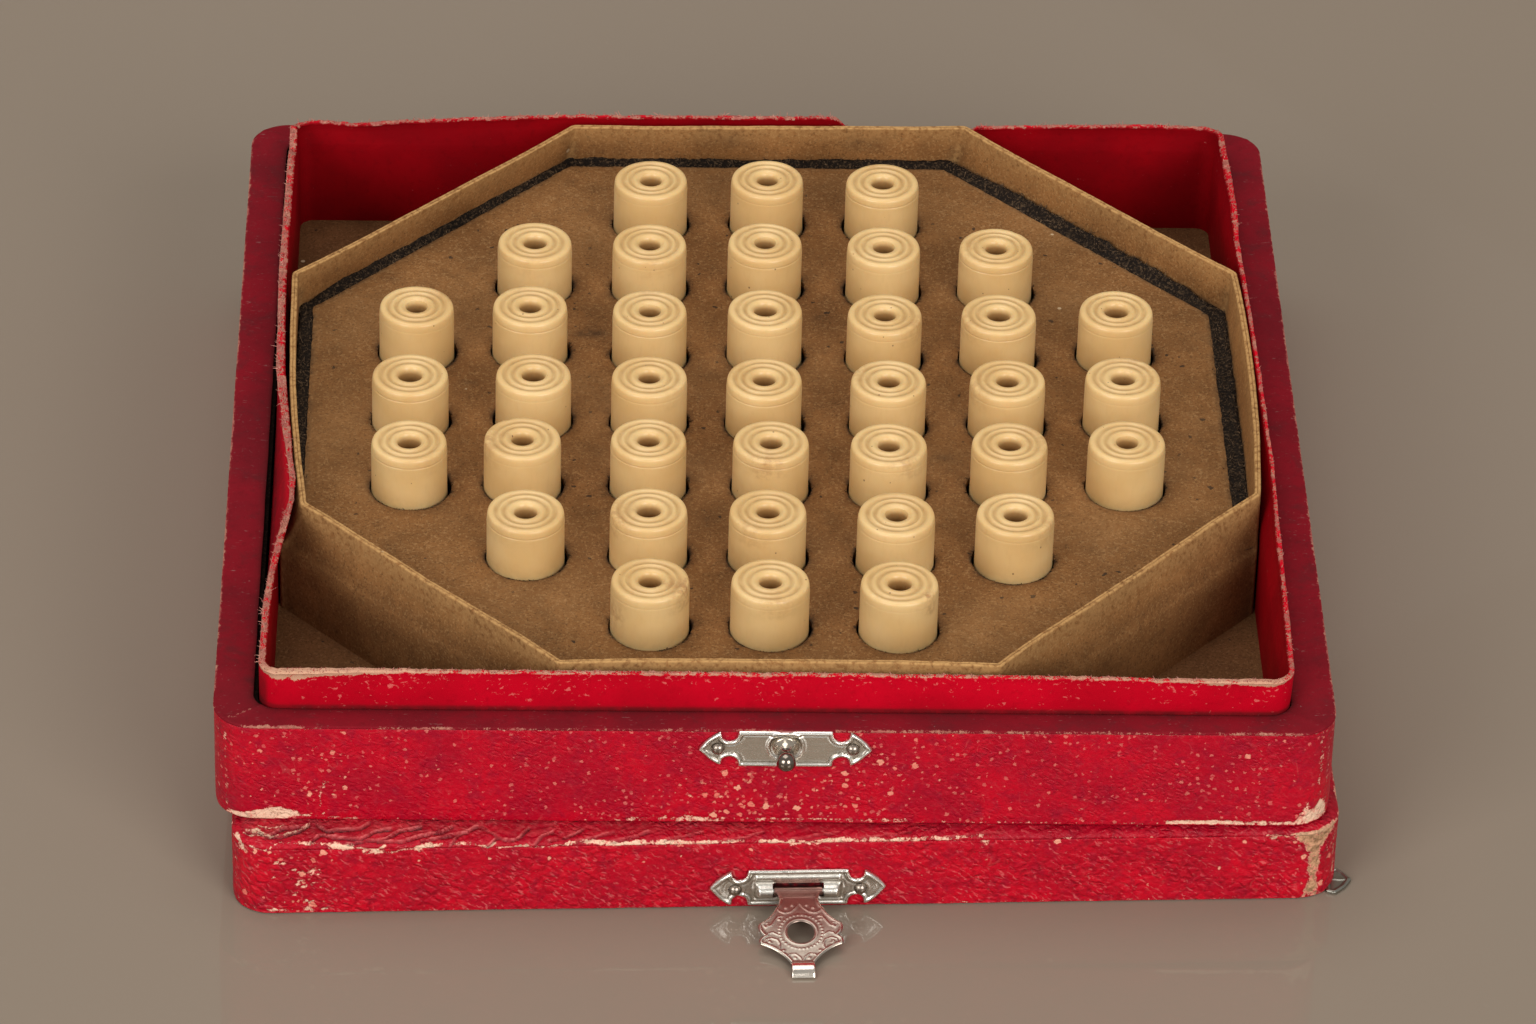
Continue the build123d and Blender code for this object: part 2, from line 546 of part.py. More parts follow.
# ---------------------------------------------------------------------- pegs
# turned drum: bevelled rim, two rings and a lip round the central bore
PEG_H = PEG_TOP - HOLE_FLOOR
for name in PEG_OFF:
    x, y = peg_xy(name)
    with BuildPart() as peg:
        with BuildSketch(Plane(origin=(x, y, HOLE_FLOOR), x_dir=(1, 0, 0), z_dir=(0, -1, 0))):
            with BuildLine():
                Polyline(
                    (0, 0), (PEG_R - 0.5, 0), (PEG_R, 0.5), (PEG_R, PEG_H - 1.3),
                    (PEG_R - 0.25, PEG_H - 0.35), (PEG_R - 0.65, PEG_H - 0.05),
                    (4.25, PEG_H - 0.08), (4.05, PEG_H - 0.3), (3.85, PEG_H - 0.08),
                    (3.2, PEG_H - 0.08), (3.0, PEG_H - 0.3), (2.8, PEG_H - 0.1),
                    (2.4, PEG_H), (2.0, PEG_H - 0.1), (PEG_BORE_R, PEG_H - 0.45),
                    (PEG_BORE_R, PEG_H - PEG_BORE_DEPTH), (0, PEG_H - PEG_BORE_DEPTH - 0.9), close=True)
            make_face()
        revolve(axis=Axis((x, y, 0), (0, 0, 1)))
    peg.part.label = "peg_" + name
    export_step(peg.part, "parts/peg_" + name + ".step")
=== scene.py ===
import math

import bmesh
import bpy
import numpy as np
from mathutils import Matrix, Vector


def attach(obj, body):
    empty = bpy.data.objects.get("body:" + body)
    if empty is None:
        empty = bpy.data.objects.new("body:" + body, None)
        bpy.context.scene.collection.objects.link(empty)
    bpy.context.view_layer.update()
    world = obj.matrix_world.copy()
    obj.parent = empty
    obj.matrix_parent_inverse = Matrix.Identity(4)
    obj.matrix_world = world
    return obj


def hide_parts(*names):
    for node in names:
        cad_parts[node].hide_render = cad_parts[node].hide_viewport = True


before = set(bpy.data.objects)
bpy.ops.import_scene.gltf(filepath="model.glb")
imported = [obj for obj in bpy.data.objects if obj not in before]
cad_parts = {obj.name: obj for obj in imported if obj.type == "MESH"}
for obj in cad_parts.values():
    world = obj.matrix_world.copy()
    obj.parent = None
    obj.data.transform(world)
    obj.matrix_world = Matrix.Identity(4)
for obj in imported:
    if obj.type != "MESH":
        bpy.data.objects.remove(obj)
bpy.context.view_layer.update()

pi = math.pi

# ------------------------------------------------------------ driving sizes, mm
TRAY = (-1.97, 9.20)                    # middle of the tray
LID = (-2.54, 6.67)                     # middle of the lid
TURN = math.radians(1.96)
TC, TS = math.cos(TURN), math.sin(TURN)
RACK = 0.020                            # the lid is out of square: going back, it shifts right
LEATHER_TOP = 28.9
RIM_Z = 29.3
FLOOR_Z = 15.3
BOARD_Z = 28.0
BLOCK_Z = 27.0


def tray_xyz(x, y, z):
    return np.stack([np.asarray(x, float) + TRAY[0], np.asarray(y, float) + TRAY[1], np.asarray(z, float) + 0 * np.asarray(x)], -1)


def lid_xyz(x, y, z, rack=RACK):
    x, y = np.asarray(x, float), np.asarray(y, float)
    x = x + rack * np.maximum(y + 77.75, 0)
    return np.stack([LID[0] + x * TC - y * TS, LID[1] + x * TS + y * TC, np.asarray(z, float) + 0 * x], -1)


# ------------------------------------------------------------------- noise
class Noise:
    """Gradient noise, about -1 to 1, the same on each run."""

    def __init__(self, seed):
        r = np.random.RandomState(seed)
        self.p = np.tile(r.permutation(256), 3)
        g = r.normal(size=(256, 3))
        self.g = g / np.linalg.norm(g, axis=1)[:, None]

    def __call__(self, P):
        P = np.asarray(P, float)
        i = np.floor(P).astype(int)
        f = P - i
        u = f * f * f * (f * (f * 6 - 15) + 10)
        i &= 255
        out = np.zeros(len(P))
        for dx in (0, 1):
            wx = u[:, 0] if dx else 1 - u[:, 0]
            for dy in (0, 1):
                wy = u[:, 1] if dy else 1 - u[:, 1]
                for dz in (0, 1):
                    wz = u[:, 2] if dz else 1 - u[:, 2]
                    h = self.p[self.p[self.p[i[:, 0] + dx] + i[:, 1] + dy] + i[:, 2] + dz] & 255
                    out += wx * wy * wz * ((f - (dx, dy, dz)) * self.g[h]).sum(1)
        return out * 1.6


def fbm(P, size, octaves=3, seed=1, gain=0.5):
    """Noise whose largest features are about size mm."""
    P = np.asarray(P, float) / size
    out, amp, total = 0, 1.0, 0.0
    for k in range(octaves):
        out = out + amp * Noise(seed * 17 + k)(P * 2 ** k + 13.7 * k)
        total += amp
        amp *= gain
    return out / total


def ridge(P, size, octaves=2, seed=1):
    """Creases: 1 along thin lines, falling to 0."""
    P = np.asarray(P, float) / size
    out, amp, total = 0, 1.0, 0.0
    for k in range(octaves):
        out = out + amp * (1 - np.abs(Noise(seed * 31 + k)(P * 2 ** k + 5.1 * k)) * 1.4)
        total += amp
        amp *= 0.5
    return np.clip(out / total, 0, 1)


def step(a, b, x):
    t = np.clip((np.asarray(x, float) - a) / (b - a), 0, 1)
    return t * t * (3 - 2 * t)


def hump(x, centre, width):
    return np.exp(-((np.asarray(x, float) - centre) / width) ** 2)


def along(x, points):
    """Piecewise linear through (x, value) points."""
    p = np.array(sorted(points))
    return np.interp(x, p[:, 0], p[:, 1])


# ------------------------------------------------------------- mesh helpers
def piece(name, V, F, body, mats, replaces=(), index=None, attrs=None, sharp=38.0, recalc=True, skin=None):
    me = bpy.data.meshes.new(name)
    V = np.asarray(V, float) * 0.001
    me.from_pydata(V.tolist(), [], [tuple(int(i) for i in f) for f in F])
    if recalc:
        bm = bmesh.new()
        bm.from_mesh(me)
        bmesh.ops.recalc_face_normals(bm, faces=bm.faces)
        bm.to_mesh(me)
        bm.free()
    me.polygons.foreach_set("use_smooth", np.ones(len(me.polygons), bool))
    me.set_sharp_from_angle(angle=math.radians(sharp))
    for key, values in (attrs or {}).items():
        at = me.attributes.new(key, "FLOAT", "POINT")
        at.data.foreach_set("value", np.asarray(values, np.float32))
    if skin is not None:
        # place on the skin in mm: (distance round, height, 0); the last column marks the flat underside
        S = np.asarray(skin, float)
        vi = np.zeros(len(me.loops), int)
        me.loops.foreach_get("vertex_index", vi)
        ls = np.zeros(len(me.polygons), int)
        me.polygons.foreach_get("loop_start", ls)
        lt = np.zeros(len(me.polygons), int)
        me.polygons.foreach_get("loop_total", lt)
        C = S[vi].copy()
        total = S[:, 0].max() - S[:, 0].min()
        far = np.repeat(np.maximum.reduceat(C[:, 0], ls), lt) - C[:, 0] > total / 2
        C[far, 0] += total
        flat = np.repeat(np.maximum.reduceat(C[:, 3], ls), lt) > 0.5
        flat_at = np.column_stack([S[vi, 4], S[vi, 5], np.zeros(len(vi))]) + (0, 500.0, 0)
        C = np.where(flat[:, None], flat_at, C[:, :3])
        at = me.attributes.new("skin", "FLOAT_VECTOR", "CORNER")
        at.data.foreach_set("vector", (C * 0.001).astype(np.float32).ravel())
    for m in mats:
        me.materials.append(m)
    if index is not None:
        me.polygons.foreach_set("material_index", np.asarray(index, np.int32))
    me.update()
    ob = bpy.data.objects.new(name, me)
    bpy.context.scene.collection.objects.link(ob)
    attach(ob, body)
    if replaces:
        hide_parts(*replaces)
    return ob


def grid_faces(rows, cols, start=0, closed=True):
    r = np.arange(rows - 1)[:, None] * cols
    n = cols if closed else cols - 1
    c = np.arange(n)[None, :]
    c2 = (c + 1) % cols
    return (np.stack([r + c, r + c2, r + cols + c2, r + cols + c], -1).reshape(-1, 4) + start).tolist()


def fan(centre, first, cols):
    return [(centre, first + (i + 1) % cols, first + i) for i in range(cols)]


def loop(hx, hy, r, nx, ny, nc):
    """Rounded rectangle, counterclockwise from the right side's front end: points, outward normals."""
    P, N = [], []

    def side(a, b, n, nn):
        t = np.arange(n)[:, None] / n
        P.append(np.array(a)[None] * (1 - t) + np.array(b)[None] * t)
        N.append(np.tile(nn, (n, 1)))

    def arc(cx, cy, a0, n):
        ang = a0 + np.arange(n) / n * pi / 2
        d = np.stack([np.cos(ang), np.sin(ang)], -1)
        P.append(np.array([[cx, cy]]) + d * r)
        N.append(d)

    side((hx, -(hy - r)), (hx, hy - r), ny, (1.0, 0.0))
    arc(hx - r, hy - r, 0, nc)
    side((hx - r, hy), (-(hx - r), hy), nx, (0.0, 1.0))
    arc(-(hx - r), hy - r, pi / 2, nc)
    side((-hx, hy - r), (-hx, -(hy - r)), ny, (-1.0, 0.0))
    arc(-(hx - r), -(hy - r), pi, nc)
    side((-(hx - r), -hy), (hx - r, -hy), nx, (0.0, -1.0))
    arc(hx - r, -(hy - r), 1.5 * pi, nc)
    return np.concatenate(P), np.concatenate(N)


def around(P):
    """Distance along a closed loop of points, 0 at the middle of the front, negative to the left."""
    d = np.linalg.norm(np.roll(P, -1, 0) - P, axis=1)
    s = np.concatenate([[0], np.cumsum(d)[:-1]])
    total = d.sum()
    front = np.where(P[:, 1] < P[:, 1].min() + 1e-6)[0]
    mid = front[np.argmin(np.abs(P[front, 0]))]
    u = s - s[mid]
    return (u + total / 2) % total - total / 2


def lathe(profile, segments):
    """Vertices and faces of a closed turned piece about z. profile runs from the axis at the bottom to the axis at the top."""
    prof = np.asarray(profile, float)
    inner = prof[1:-1]
    ang = np.arange(segments) / segments * 2 * pi
    V = np.zeros((len(inner), segments, 3))
    V[:, :, 0] = inner[:, 0][:, None] * np.cos(ang)
    V[:, :, 1] = inner[:, 0][:, None] * np.sin(ang)
    V[:, :, 2] = inner[:, 1][:, None]
    n = len(inner) * segments
    V = np.concatenate([V.reshape(-1, 3), [[0, 0, prof[0, 1]], [0, 0, prof[-1, 1]]]])
    F = grid_faces(len(inner), segments)
    F += [(n, (i + 1) % segments, i) for i in range(segments)]
    top = (len(inner) - 1) * segments
    F += [(n + 1, top + i, top + (i + 1) % segments) for i in range(segments)]
    return V, F


def arc_pts(p0, p1, p2, n=12):
    """Points on the circle through three points."""
    (ax, ay), (bx, by), (cx, cy) = p0, p1, p2
    d = 2 * (ax * (by - cy) + bx * (cy - ay) + cx * (ay - by))
    ux = ((ax**2 + ay**2) * (by - cy) + (bx**2 + by**2) * (cy - ay) + (cx**2 + cy**2) * (ay - by)) / d
    uy = ((ax**2 + ay**2) * (cx - bx) + (bx**2 + by**2) * (ax - cx) + (cx**2 + cy**2) * (bx - ax)) / d
    r = math.hypot(ax - ux, ay - uy)
    a0, a1, a2 = (math.atan2(y - uy, x - ux) for x, y in (p0, p1, p2))
    two = 2 * pi
    if (a1 - a0) % two > (a2 - a0) % two:
        sweep = -((a0 - a2) % two)
    else:
        sweep = (a2 - a0) % two
    return [(ux + r * math.cos(a0 + sweep * k / n), uy + r * math.sin(a0 + sweep * k / n)) for k in range(n + 1)]


def seg_dist(P, line, closed=False):
    line = np.asarray(line, float)
    A, B = (line, np.roll(line, -1, 0)) if closed else (line[:-1], line[1:])
    best = np.full(len(P), 1e9)
    for a, b in zip(A, B):
        ab = b - a
        L = (ab ** 2).sum()
        if L < 1e-12:
            continue
        t = np.clip(((P - a) @ ab) / L, 0, 1)
        d = np.hypot(*(P - a - t[:, None] * ab).T)
        best = np.minimum(best, d)
    return best


def poly_sd(P, poly):
    """Distance to a polygon's outline, positive inside."""
    poly = np.asarray(poly, float)
    inside = np.zeros(len(P), bool)
    for a, b in zip(poly, np.roll(poly, -1, 0)):
        cross = (a[1] > P[:, 1]) != (b[1] > P[:, 1])
        with np.errstate(divide="ignore", invalid="ignore"):
            xs = (b[0] - a[0]) * (P[:, 1] - a[1]) / (b[1] - a[1]) + a[0]
        inside ^= cross & (P[:, 0] < xs)
    d = seg_dist(P, poly, closed=True)
    return np.where(inside, d, -d)


def cut_plate(lo, hi, cell, sd_of, top_of, bottom_of, wall_rows=1):
    """A plate over the area where sd_of is positive: its edge is cut smoothly, with top, bottom and walls.
    Returns vertices, faces, the 2D place of each vertex and which are top vertices."""
    nx, ny = int(math.ceil((hi[0] - lo[0]) / cell)) + 1, int(math.ceil((hi[1] - lo[1]) / cell)) + 1
    X, Y = lo[0] + np.arange(nx) * cell, lo[1] + np.arange(ny) * cell
    G = np.stack(np.meshgrid(X, Y), -1)
    sd = sd_of(G.reshape(-1, 2)).reshape(ny, nx)
    small = np.abs(sd) < 0.04 * cell
    sd = np.where(small, np.where(sd >= 0, 0.04, -0.04) * cell, sd)
    inside = sd > 0
    vid = -np.ones((ny, nx), int)
    vid[inside] = np.arange(inside.sum())
    pts = G[inside].tolist()
    faces = []
    full = inside[:-1, :-1] & inside[:-1, 1:] & inside[1:, 1:] & inside[1:, :-1]
    j, i = np.where(full)
    faces += np.stack([vid[j, i], vid[j, i + 1], vid[j + 1, i + 1], vid[j + 1, i]], -1).tolist()
    some = (inside[:-1, :-1] | inside[:-1, 1:] | inside[1:, 1:] | inside[1:, :-1]) & ~full
    cuts = {}

    def cut(a, b):
        key = (a, b) if a < b else (b, a)
        if key not in cuts:
            (j0, i0), (j1, i1) = key
            s0, s1 = sd[j0, i0], sd[j1, i1]
            t = s0 / (s0 - s1)
            p = G[j0, i0] * (1 - t) + G[j1, i1] * t
            cuts[key] = len(pts)
            pts.append(p.tolist())
        return cuts[key]

    for j, i in zip(*np.where(some)):
        ring = [(j, i), (j, i + 1), (j + 1, i + 1), (j + 1, i)]
        f = []
        for k in range(4):
            a, b = ring[k], ring[(k + 1) % 4]
            if inside[a]:
                f.append(int(vid[a]))
            if inside[a] != inside[b]:
                f.append(cut(a, b))
        if len(f) >= 3:
            faces.append(f)
    P2 = np.array(pts)
    n = len(P2)
    edges = {}
    for f in faces:
        for a, b in zip(f, f[1:] + f[:1]):
            edges[(a, b)] = 1
    rim = [(a, b) for a, b in edges if (b, a) not in edges]
    top, bottom = top_of(P2), bottom_of(P2)
    V = [np.column_stack([P2, top]), np.column_stack([P2, bottom])]
    F = [list(f) for f in faces] + [[v + n for v in reversed(f)] for f in faces]
    rim_v = sorted({a for e in rim for a in e})
    where = {v: k for k, v in enumerate(rim_v)}
    rv = np.array(rim_v)
    base = 2 * n
    for w in range(1, wall_rows):
        t = w / wall_rows
        V.append(np.column_stack([P2[rv], top[rv] * (1 - t) + bottom[rv] * t]))
    for a, b in rim:
        ups_a = [a] + [base + (w - 1) * len(rim_v) + where[a] for w in range(1, wall_rows)] + [a + n]
        ups_b = [b] + [base + (w - 1) * len(rim_v) + where[b] for w in range(1, wall_rows)] + [b + n]
        for w in range(wall_rows):
            F.append([ups_b[w], ups_a[w], ups_a[w + 1], ups_b[w + 1]])
    V = np.concatenate(V)
    P_all = V[:, :2].copy()
    is_top = np.zeros(len(V), bool)
    is_top[:n] = True
    return V, F, P_all, is_top


# --------------------------------------------------------------- materials
class Mat:
    def __init__(self, name, **sockets):
        self.m = bpy.data.materials.new(name)
        self.m.use_nodes = True
        self.nt = self.m.node_tree
        self.nt.nodes.clear()
        out = self.nt.nodes.new("ShaderNodeOutputMaterial")
        self.b = self.nt.nodes.new("ShaderNodeBsdfPrincipled")
        self.nt.links.new(self.b.outputs[0], out.inputs[0])
        self.co = self.nt.nodes.new("ShaderNodeTexCoord").outputs["Object"]
        for k, v in sockets.items():
            self.b.inputs[k.replace("_", " ")].default_value = v

    def put(self, socket, value):
        if hasattr(value, "is_linked") or hasattr(value, "node"):
            self.nt.links.new(value, socket)
        else:
            socket.default_value = value

    def node(self, kind, **props):
        n = self.nt.nodes.new(kind)
        for k, v in props.items():
            setattr(n, k, v)
        return n

    def mapped(self, scale=(1, 1, 1), turn=(0, 0, 0), shift=(0, 0, 0), vec=None):
        n = self.node("ShaderNodeMapping")
        self.put(n.inputs["Vector"], vec or self.co)
        n.inputs["Location"].default_value = shift
        n.inputs["Rotation"].default_value = [math.radians(a) for a in turn]
        n.inputs["Scale"].default_value = scale
        return n.outputs[0]

    def slanted(self, angle, stretch, vec=None):
        """Coordinates in which features are stretched along a line at angle degrees."""
        n = self.node("ShaderNodeMapping", vector_type="TEXTURE")
        self.put(n.inputs["Vector"], vec or self.co)
        n.inputs["Rotation"].default_value = (0, 0, math.radians(angle))
        n.inputs["Scale"].default_value = (stretch, 1, 1)
        return n.outputs[0]

    def warped(self, size, mm, vec=None):
        """Coordinates shifted about by up to mm."""
        n = self.node("ShaderNodeTexNoise")
        self.put(n.inputs["Vector"], vec or self.co)
        n.inputs["Scale"].default_value = 1000.0 / size
        n.inputs["Detail"].default_value = 2.0
        k = self.node("ShaderNodeVectorMath", operation="MULTIPLY_ADD")
        self.put(k.inputs[0], n.outputs["Color"])
        k.inputs[1].default_value = (0.004 * mm,) * 3
        self.put(k.inputs[2], vec or self.co)
        return k.outputs[0]

    def spots(self, size, amount, radius, shift=(0, 0, 0), ragged=0.14):
        """Round chips: a part of the cells, by amount, has one. The mask, and a random tone for each chip."""
        d, rnd = self.cells(size, vec=self.warped(size * 0.45, size * ragged, self.mapped(shift=shift)))
        n = self.node("ShaderNodeSeparateColor")
        self.put(n.inputs[0], rnd)
        r = self.span(self.maths("SUBTRACT", amount, n.outputs[0]), 0.0, 0.5, 0.0, radius)
        return self.span(self.maths("SUBTRACT", r, d), 0.0, 0.075), n.outputs[1]

    def noise(self, size, detail=3.0, rough=0.55, warp=0.0, vec=None):
        n = self.node("ShaderNodeTexNoise")
        self.put(n.inputs["Vector"], vec or self.co)
        n.inputs["Scale"].default_value = 1000.0 / size
        n.inputs["Detail"].default_value = detail
        n.inputs["Roughness"].default_value = rough
        n.inputs["Distortion"].default_value = warp
        return n.outputs["Fac"]

    def cells(self, size, feature="F1", vec=None, random=1.0, smooth=None):
        n = self.node("ShaderNodeTexVoronoi", feature=feature)
        self.put(n.inputs["Vector"], vec or self.co)
        n.inputs["Scale"].default_value = 1000.0 / size
        n.inputs["Randomness"].default_value = random
        if smooth is not None:
            n.inputs["Smoothness"].default_value = smooth
        return n.outputs["Distance"], n.outputs.get("Color")

    def maths(self, op, a, b=0.0, c=None, clamp=False):
        n = self.node("ShaderNodeMath", operation=op, use_clamp=clamp)
        self.put(n.inputs[0], a)
        self.put(n.inputs[1], b)
        if c is not None:
            self.put(n.inputs[2], c)
        return n.outputs[0]

    def span(self, x, lo, hi, a=0.0, b=1.0):
        """a at lo, b at hi, smooth between."""
        n = self.node("ShaderNodeMapRange", interpolation_type="SMOOTHSTEP")
        self.put(n.inputs["Value"], x)
        self.put(n.inputs["From Min"], lo)
        self.put(n.inputs["From Max"], hi)
        n.inputs["To Min"].default_value = a
        n.inputs["To Max"].default_value = b
        return n.outputs["Result"]

    def mix(self, fac, a, b, how="MIX"):
        n = self.node("ShaderNodeMix", data_type="RGBA", blend_type=how)
        self.put(n.inputs["Factor"], fac)
        for s, v in (("A", a), ("B", b)):
            sock = [i for i in n.inputs if i.name == s and i.type == "RGBA"][0]
            self.put(sock, (*v, 1.0) if isinstance(v, tuple) and len(v) == 3 else v)
        return [o for o in n.outputs if o.type == "RGBA"][0]

    def attr(self, name):
        n = self.node("ShaderNodeAttribute", attribute_name=name)
        return n.outputs["Fac"]

    def bump(self, height, mm, strength=1.0, normal=None):
        n = self.node("ShaderNodeBump")
        n.inputs["Strength"].default_value = strength
        n.inputs["Distance"].default_value = mm * 0.001
        self.put(n.inputs["Height"], height)
        if normal is not None:
            self.put(n.inputs["Normal"], normal)
        return n.outputs[0]

    def red(self, rgb):
        n = self.node("ShaderNodeSeparateColor")
        self.put(n.inputs[0], rgb)
        return n.outputs[0]

    def done(self, color=None, rough=None, normal=None):
        if color is not None:
            self.put(self.b.inputs["Base Color"], color)
        if rough is not None:
            self.put(self.b.inputs["Roughness"], rough)
        if normal is not None:
            self.put(self.b.inputs["Normal"], normal)
        return self.m


def leather(name, bright, deep, dull, grain=1.1, scaly=0.3, rubbed_stroke_highlights=0.4, bump=0.30, skin=True, gain=1.0, dots=0.0):
    """Red grained leather. Attributes: wear (rubbed through), fleck (small chips), the mask of painted shade, skin
    (place on the skin).
    """
    m = Mat(name, IOR=1.45)
    m.b.inputs["Specular IOR Level"].default_value = 0.22
    if skin:
        m.co = m.node("ShaderNodeAttribute", attribute_name="skin").outputs["Vector"]
    dark = tuple(0.30 * c for c in deep)
    col = m.mix(m.span(m.noise(11, 3, 0.6), 0.34, 0.66), bright, deep)
    col = m.mix(m.span(m.noise(2.4, 4, 0.62, 0.5), 0.46, 0.70, 0, 0.62), col, dull)
    fine = m.noise(0.50, 3, 0.62, 0.3)
    col = m.mix(m.span(fine, 0.52, 0.72, 0, 0.45), col, tuple(0.62 * c for c in deep))
    # scales of the grain, with painted shade in the hollows between them
    dist, rnd = m.cells(grain, "DISTANCE_TO_EDGE", vec=m.slanted(-30, 1.5, m.warped(1.5, 0.30)))
    where = m.span(m.noise(8, 3, 0.6), 0.38, 0.60, 0.25, 1.0)
    gaps = m.span(m.noise(1.0, 3, 0.6, 0, vec=m.mapped(shift=(0.03, 0.01, 0))), 0.42, 0.60)
    hollow = m.maths("MULTIPLY", m.maths("MULTIPLY", m.span(dist, 0.02, 0.20, 1, 0), gaps), where)
    col = m.mix(m.maths("MULTIPLY", hollow, scaly), col, dark)
    # short pale strokes, painted highlights on the grain that are partly rubbed, and a few fine hairlines
    st = m.noise(0.40, 2, 0.5, 0.0, vec=m.slanted(-37, 3.2, m.warped(2.2, 0.35)))
    rubbed_stroke_highlight = m.maths("MULTIPLY", m.span(st, 0.585, 0.67), m.span(m.noise(3.0, 3), 0.36, 0.56))
    col = m.mix(m.maths("MULTIPLY", rubbed_stroke_highlight, rubbed_stroke_highlights), col, (0.74, 0.165, 0.16))
    line = m.maths("ABSOLUTE", m.maths("SUBTRACT", m.noise(7.5, 2, 0.5, 0.8), 0.5))
    hair = m.maths("MULTIPLY", m.span(line, 0.003, 0.012, 1, 0), m.span(m.noise(5, 2, vec=m.mapped(shift=(0.1, 0.04, 0))), 0.58, 0.68))
    col = m.mix(m.maths("MULTIPLY", hair, 0.14), col, (0.66, 0.16, 0.14))
    haze = m.maths("MULTIPLY", m.span(m.noise(1.0, 3, 0.55, 0.0, vec=m.mapped(shift=(0.02, 0.09, 0))), 0.46, 0.74), 0.16)
    col = m.mix(haze, col, (0.58, 0.045, 0.065))
    # crests of creases: painted highlight, partly rubbed pink
    crest = m.maths("MULTIPLY", m.attr("crest"), m.span(m.noise(1.3, 3), 0.34, 0.56, 0.25, 1.0))
    col = m.mix(crest, col, (0.76, 0.165, 0.16))
    # faint dots all over, where the crowns of the grain are rubbed
    if dots:
        many = m.span(m.noise(6.5, 2, 0.5, 0, vec=m.mapped(shift=(0.05, 0.02, 0))), 0.36, 0.64, 0.42, 0.86)
        faint, tone3 = m.spots(0.98, many, 0.33, (0.004, 0.019, 0), 0.20)
        col = m.mix(m.maths("MULTIPLY", faint, dots), col, m.mix(tone3, (0.60, 0.10, 0.10), (0.80, 0.25, 0.19)))
    # chips: round pale spots of uneven size
    fleck = m.attr("fleck")
    big, tone = m.spots(1.65, fleck, 0.34)
    small, tone2 = m.spots(0.80, m.maths("MULTIPLY_ADD", fleck, 0.62, 0.06), 0.36, (0.013, 0.007, 0))
    col = m.mix(m.maths("MULTIPLY", small, 0.72), col, m.mix(tone2, (0.70, 0.11, 0.10), (0.84, 0.28, 0.19)))
    col = m.mix(m.maths("MULTIPLY", big, 0.88), col, m.mix(tone, (0.78, 0.18, 0.135), (0.88, 0.40, 0.27)))
    chip_all = m.maths("MAXIMUM", big, small)
    # rubbed areas with a broken edge, pink at the edge and cream inside
    wear = m.attr("wear")
    ragged = m.maths("ADD", m.maths("MULTIPLY", m.noise(1.35, 5, 0.70, 0.5), 0.76), m.maths("MULTIPLY", m.noise(0.30, 2), 0.24))
    power = m.span(wear, 0.0, 0.25, 0.0, 3.3)
    value = m.maths("ADD", wear, m.maths("MULTIPLY", m.maths("SUBTRACT", ragged, 0.5), power))
    rubbed = m.span(value, 0.50, 0.63)
    core = m.span(value, 0.60, 0.92)
    cream = m.mix(m.noise(1.8, 3), (0.88, 0.61, 0.45), (0.82, 0.50, 0.34))
    cream = m.mix(m.span(m.noise(0.55, 3), 0.55, 0.70, 0, 0.7), cream, (0.46, 0.30, 0.17))
    bare = m.mix(m.span(m.noise(0.9, 4, 0.7), 0.40, 0.60), (0.62, 0.33, 0.19), (0.33, 0.180, 0.090))
    cream = m.mix(m.attr("bare"), cream, bare)
    worn = m.mix(core, (0.78, 0.24, 0.19), cream)
    crack = m.span(m.maths("ABSOLUTE", m.maths("SUBTRACT", m.noise(1.9, 3, 0.6, 0.6, vec=m.mapped(shift=(0.07, 0.02, 0))), 0.5)), 0.004, 0.022, 0.55, 0)
    worn = m.mix(crack, worn, (0.20, 0.10, 0.06))
    col = m.mix(rubbed, col, worn)
    # painted shade, nearly black, where the shade attribute marks it
    col = m.mix(m.maths("MULTIPLY", m.attr("grime_and_shade"), m.span(m.noise(1.4, 4), 0.3, 0.6, 0.6, 1.0)), col, (0.020, 0.006, 0.006))
    rough = m.mix(rubbed, m.mix(m.noise(0.8), (0.33,) * 3, (0.50,) * 3), (0.85,) * 3)
    scale_h = m.maths("MULTIPLY", m.span(dist, 0.0, 0.32), m.maths("MULTIPLY", where, 0.40 + scaly))
    h = m.maths("ADD", scale_h, m.maths("MULTIPLY", m.noise(1.1, 4, 0.62), 1.1))
    h = m.maths("ADD", h, m.maths("MULTIPLY", fine, 0.30))
    h = m.maths("SUBTRACT", h, m.maths("MULTIPLY", rubbed, 0.6))
    h = m.maths("SUBTRACT", h, m.maths("MULTIPLY", chip_all, 0.4))
    return m.done(col, m.red(rough), m.bump(h, bump, 0.9))


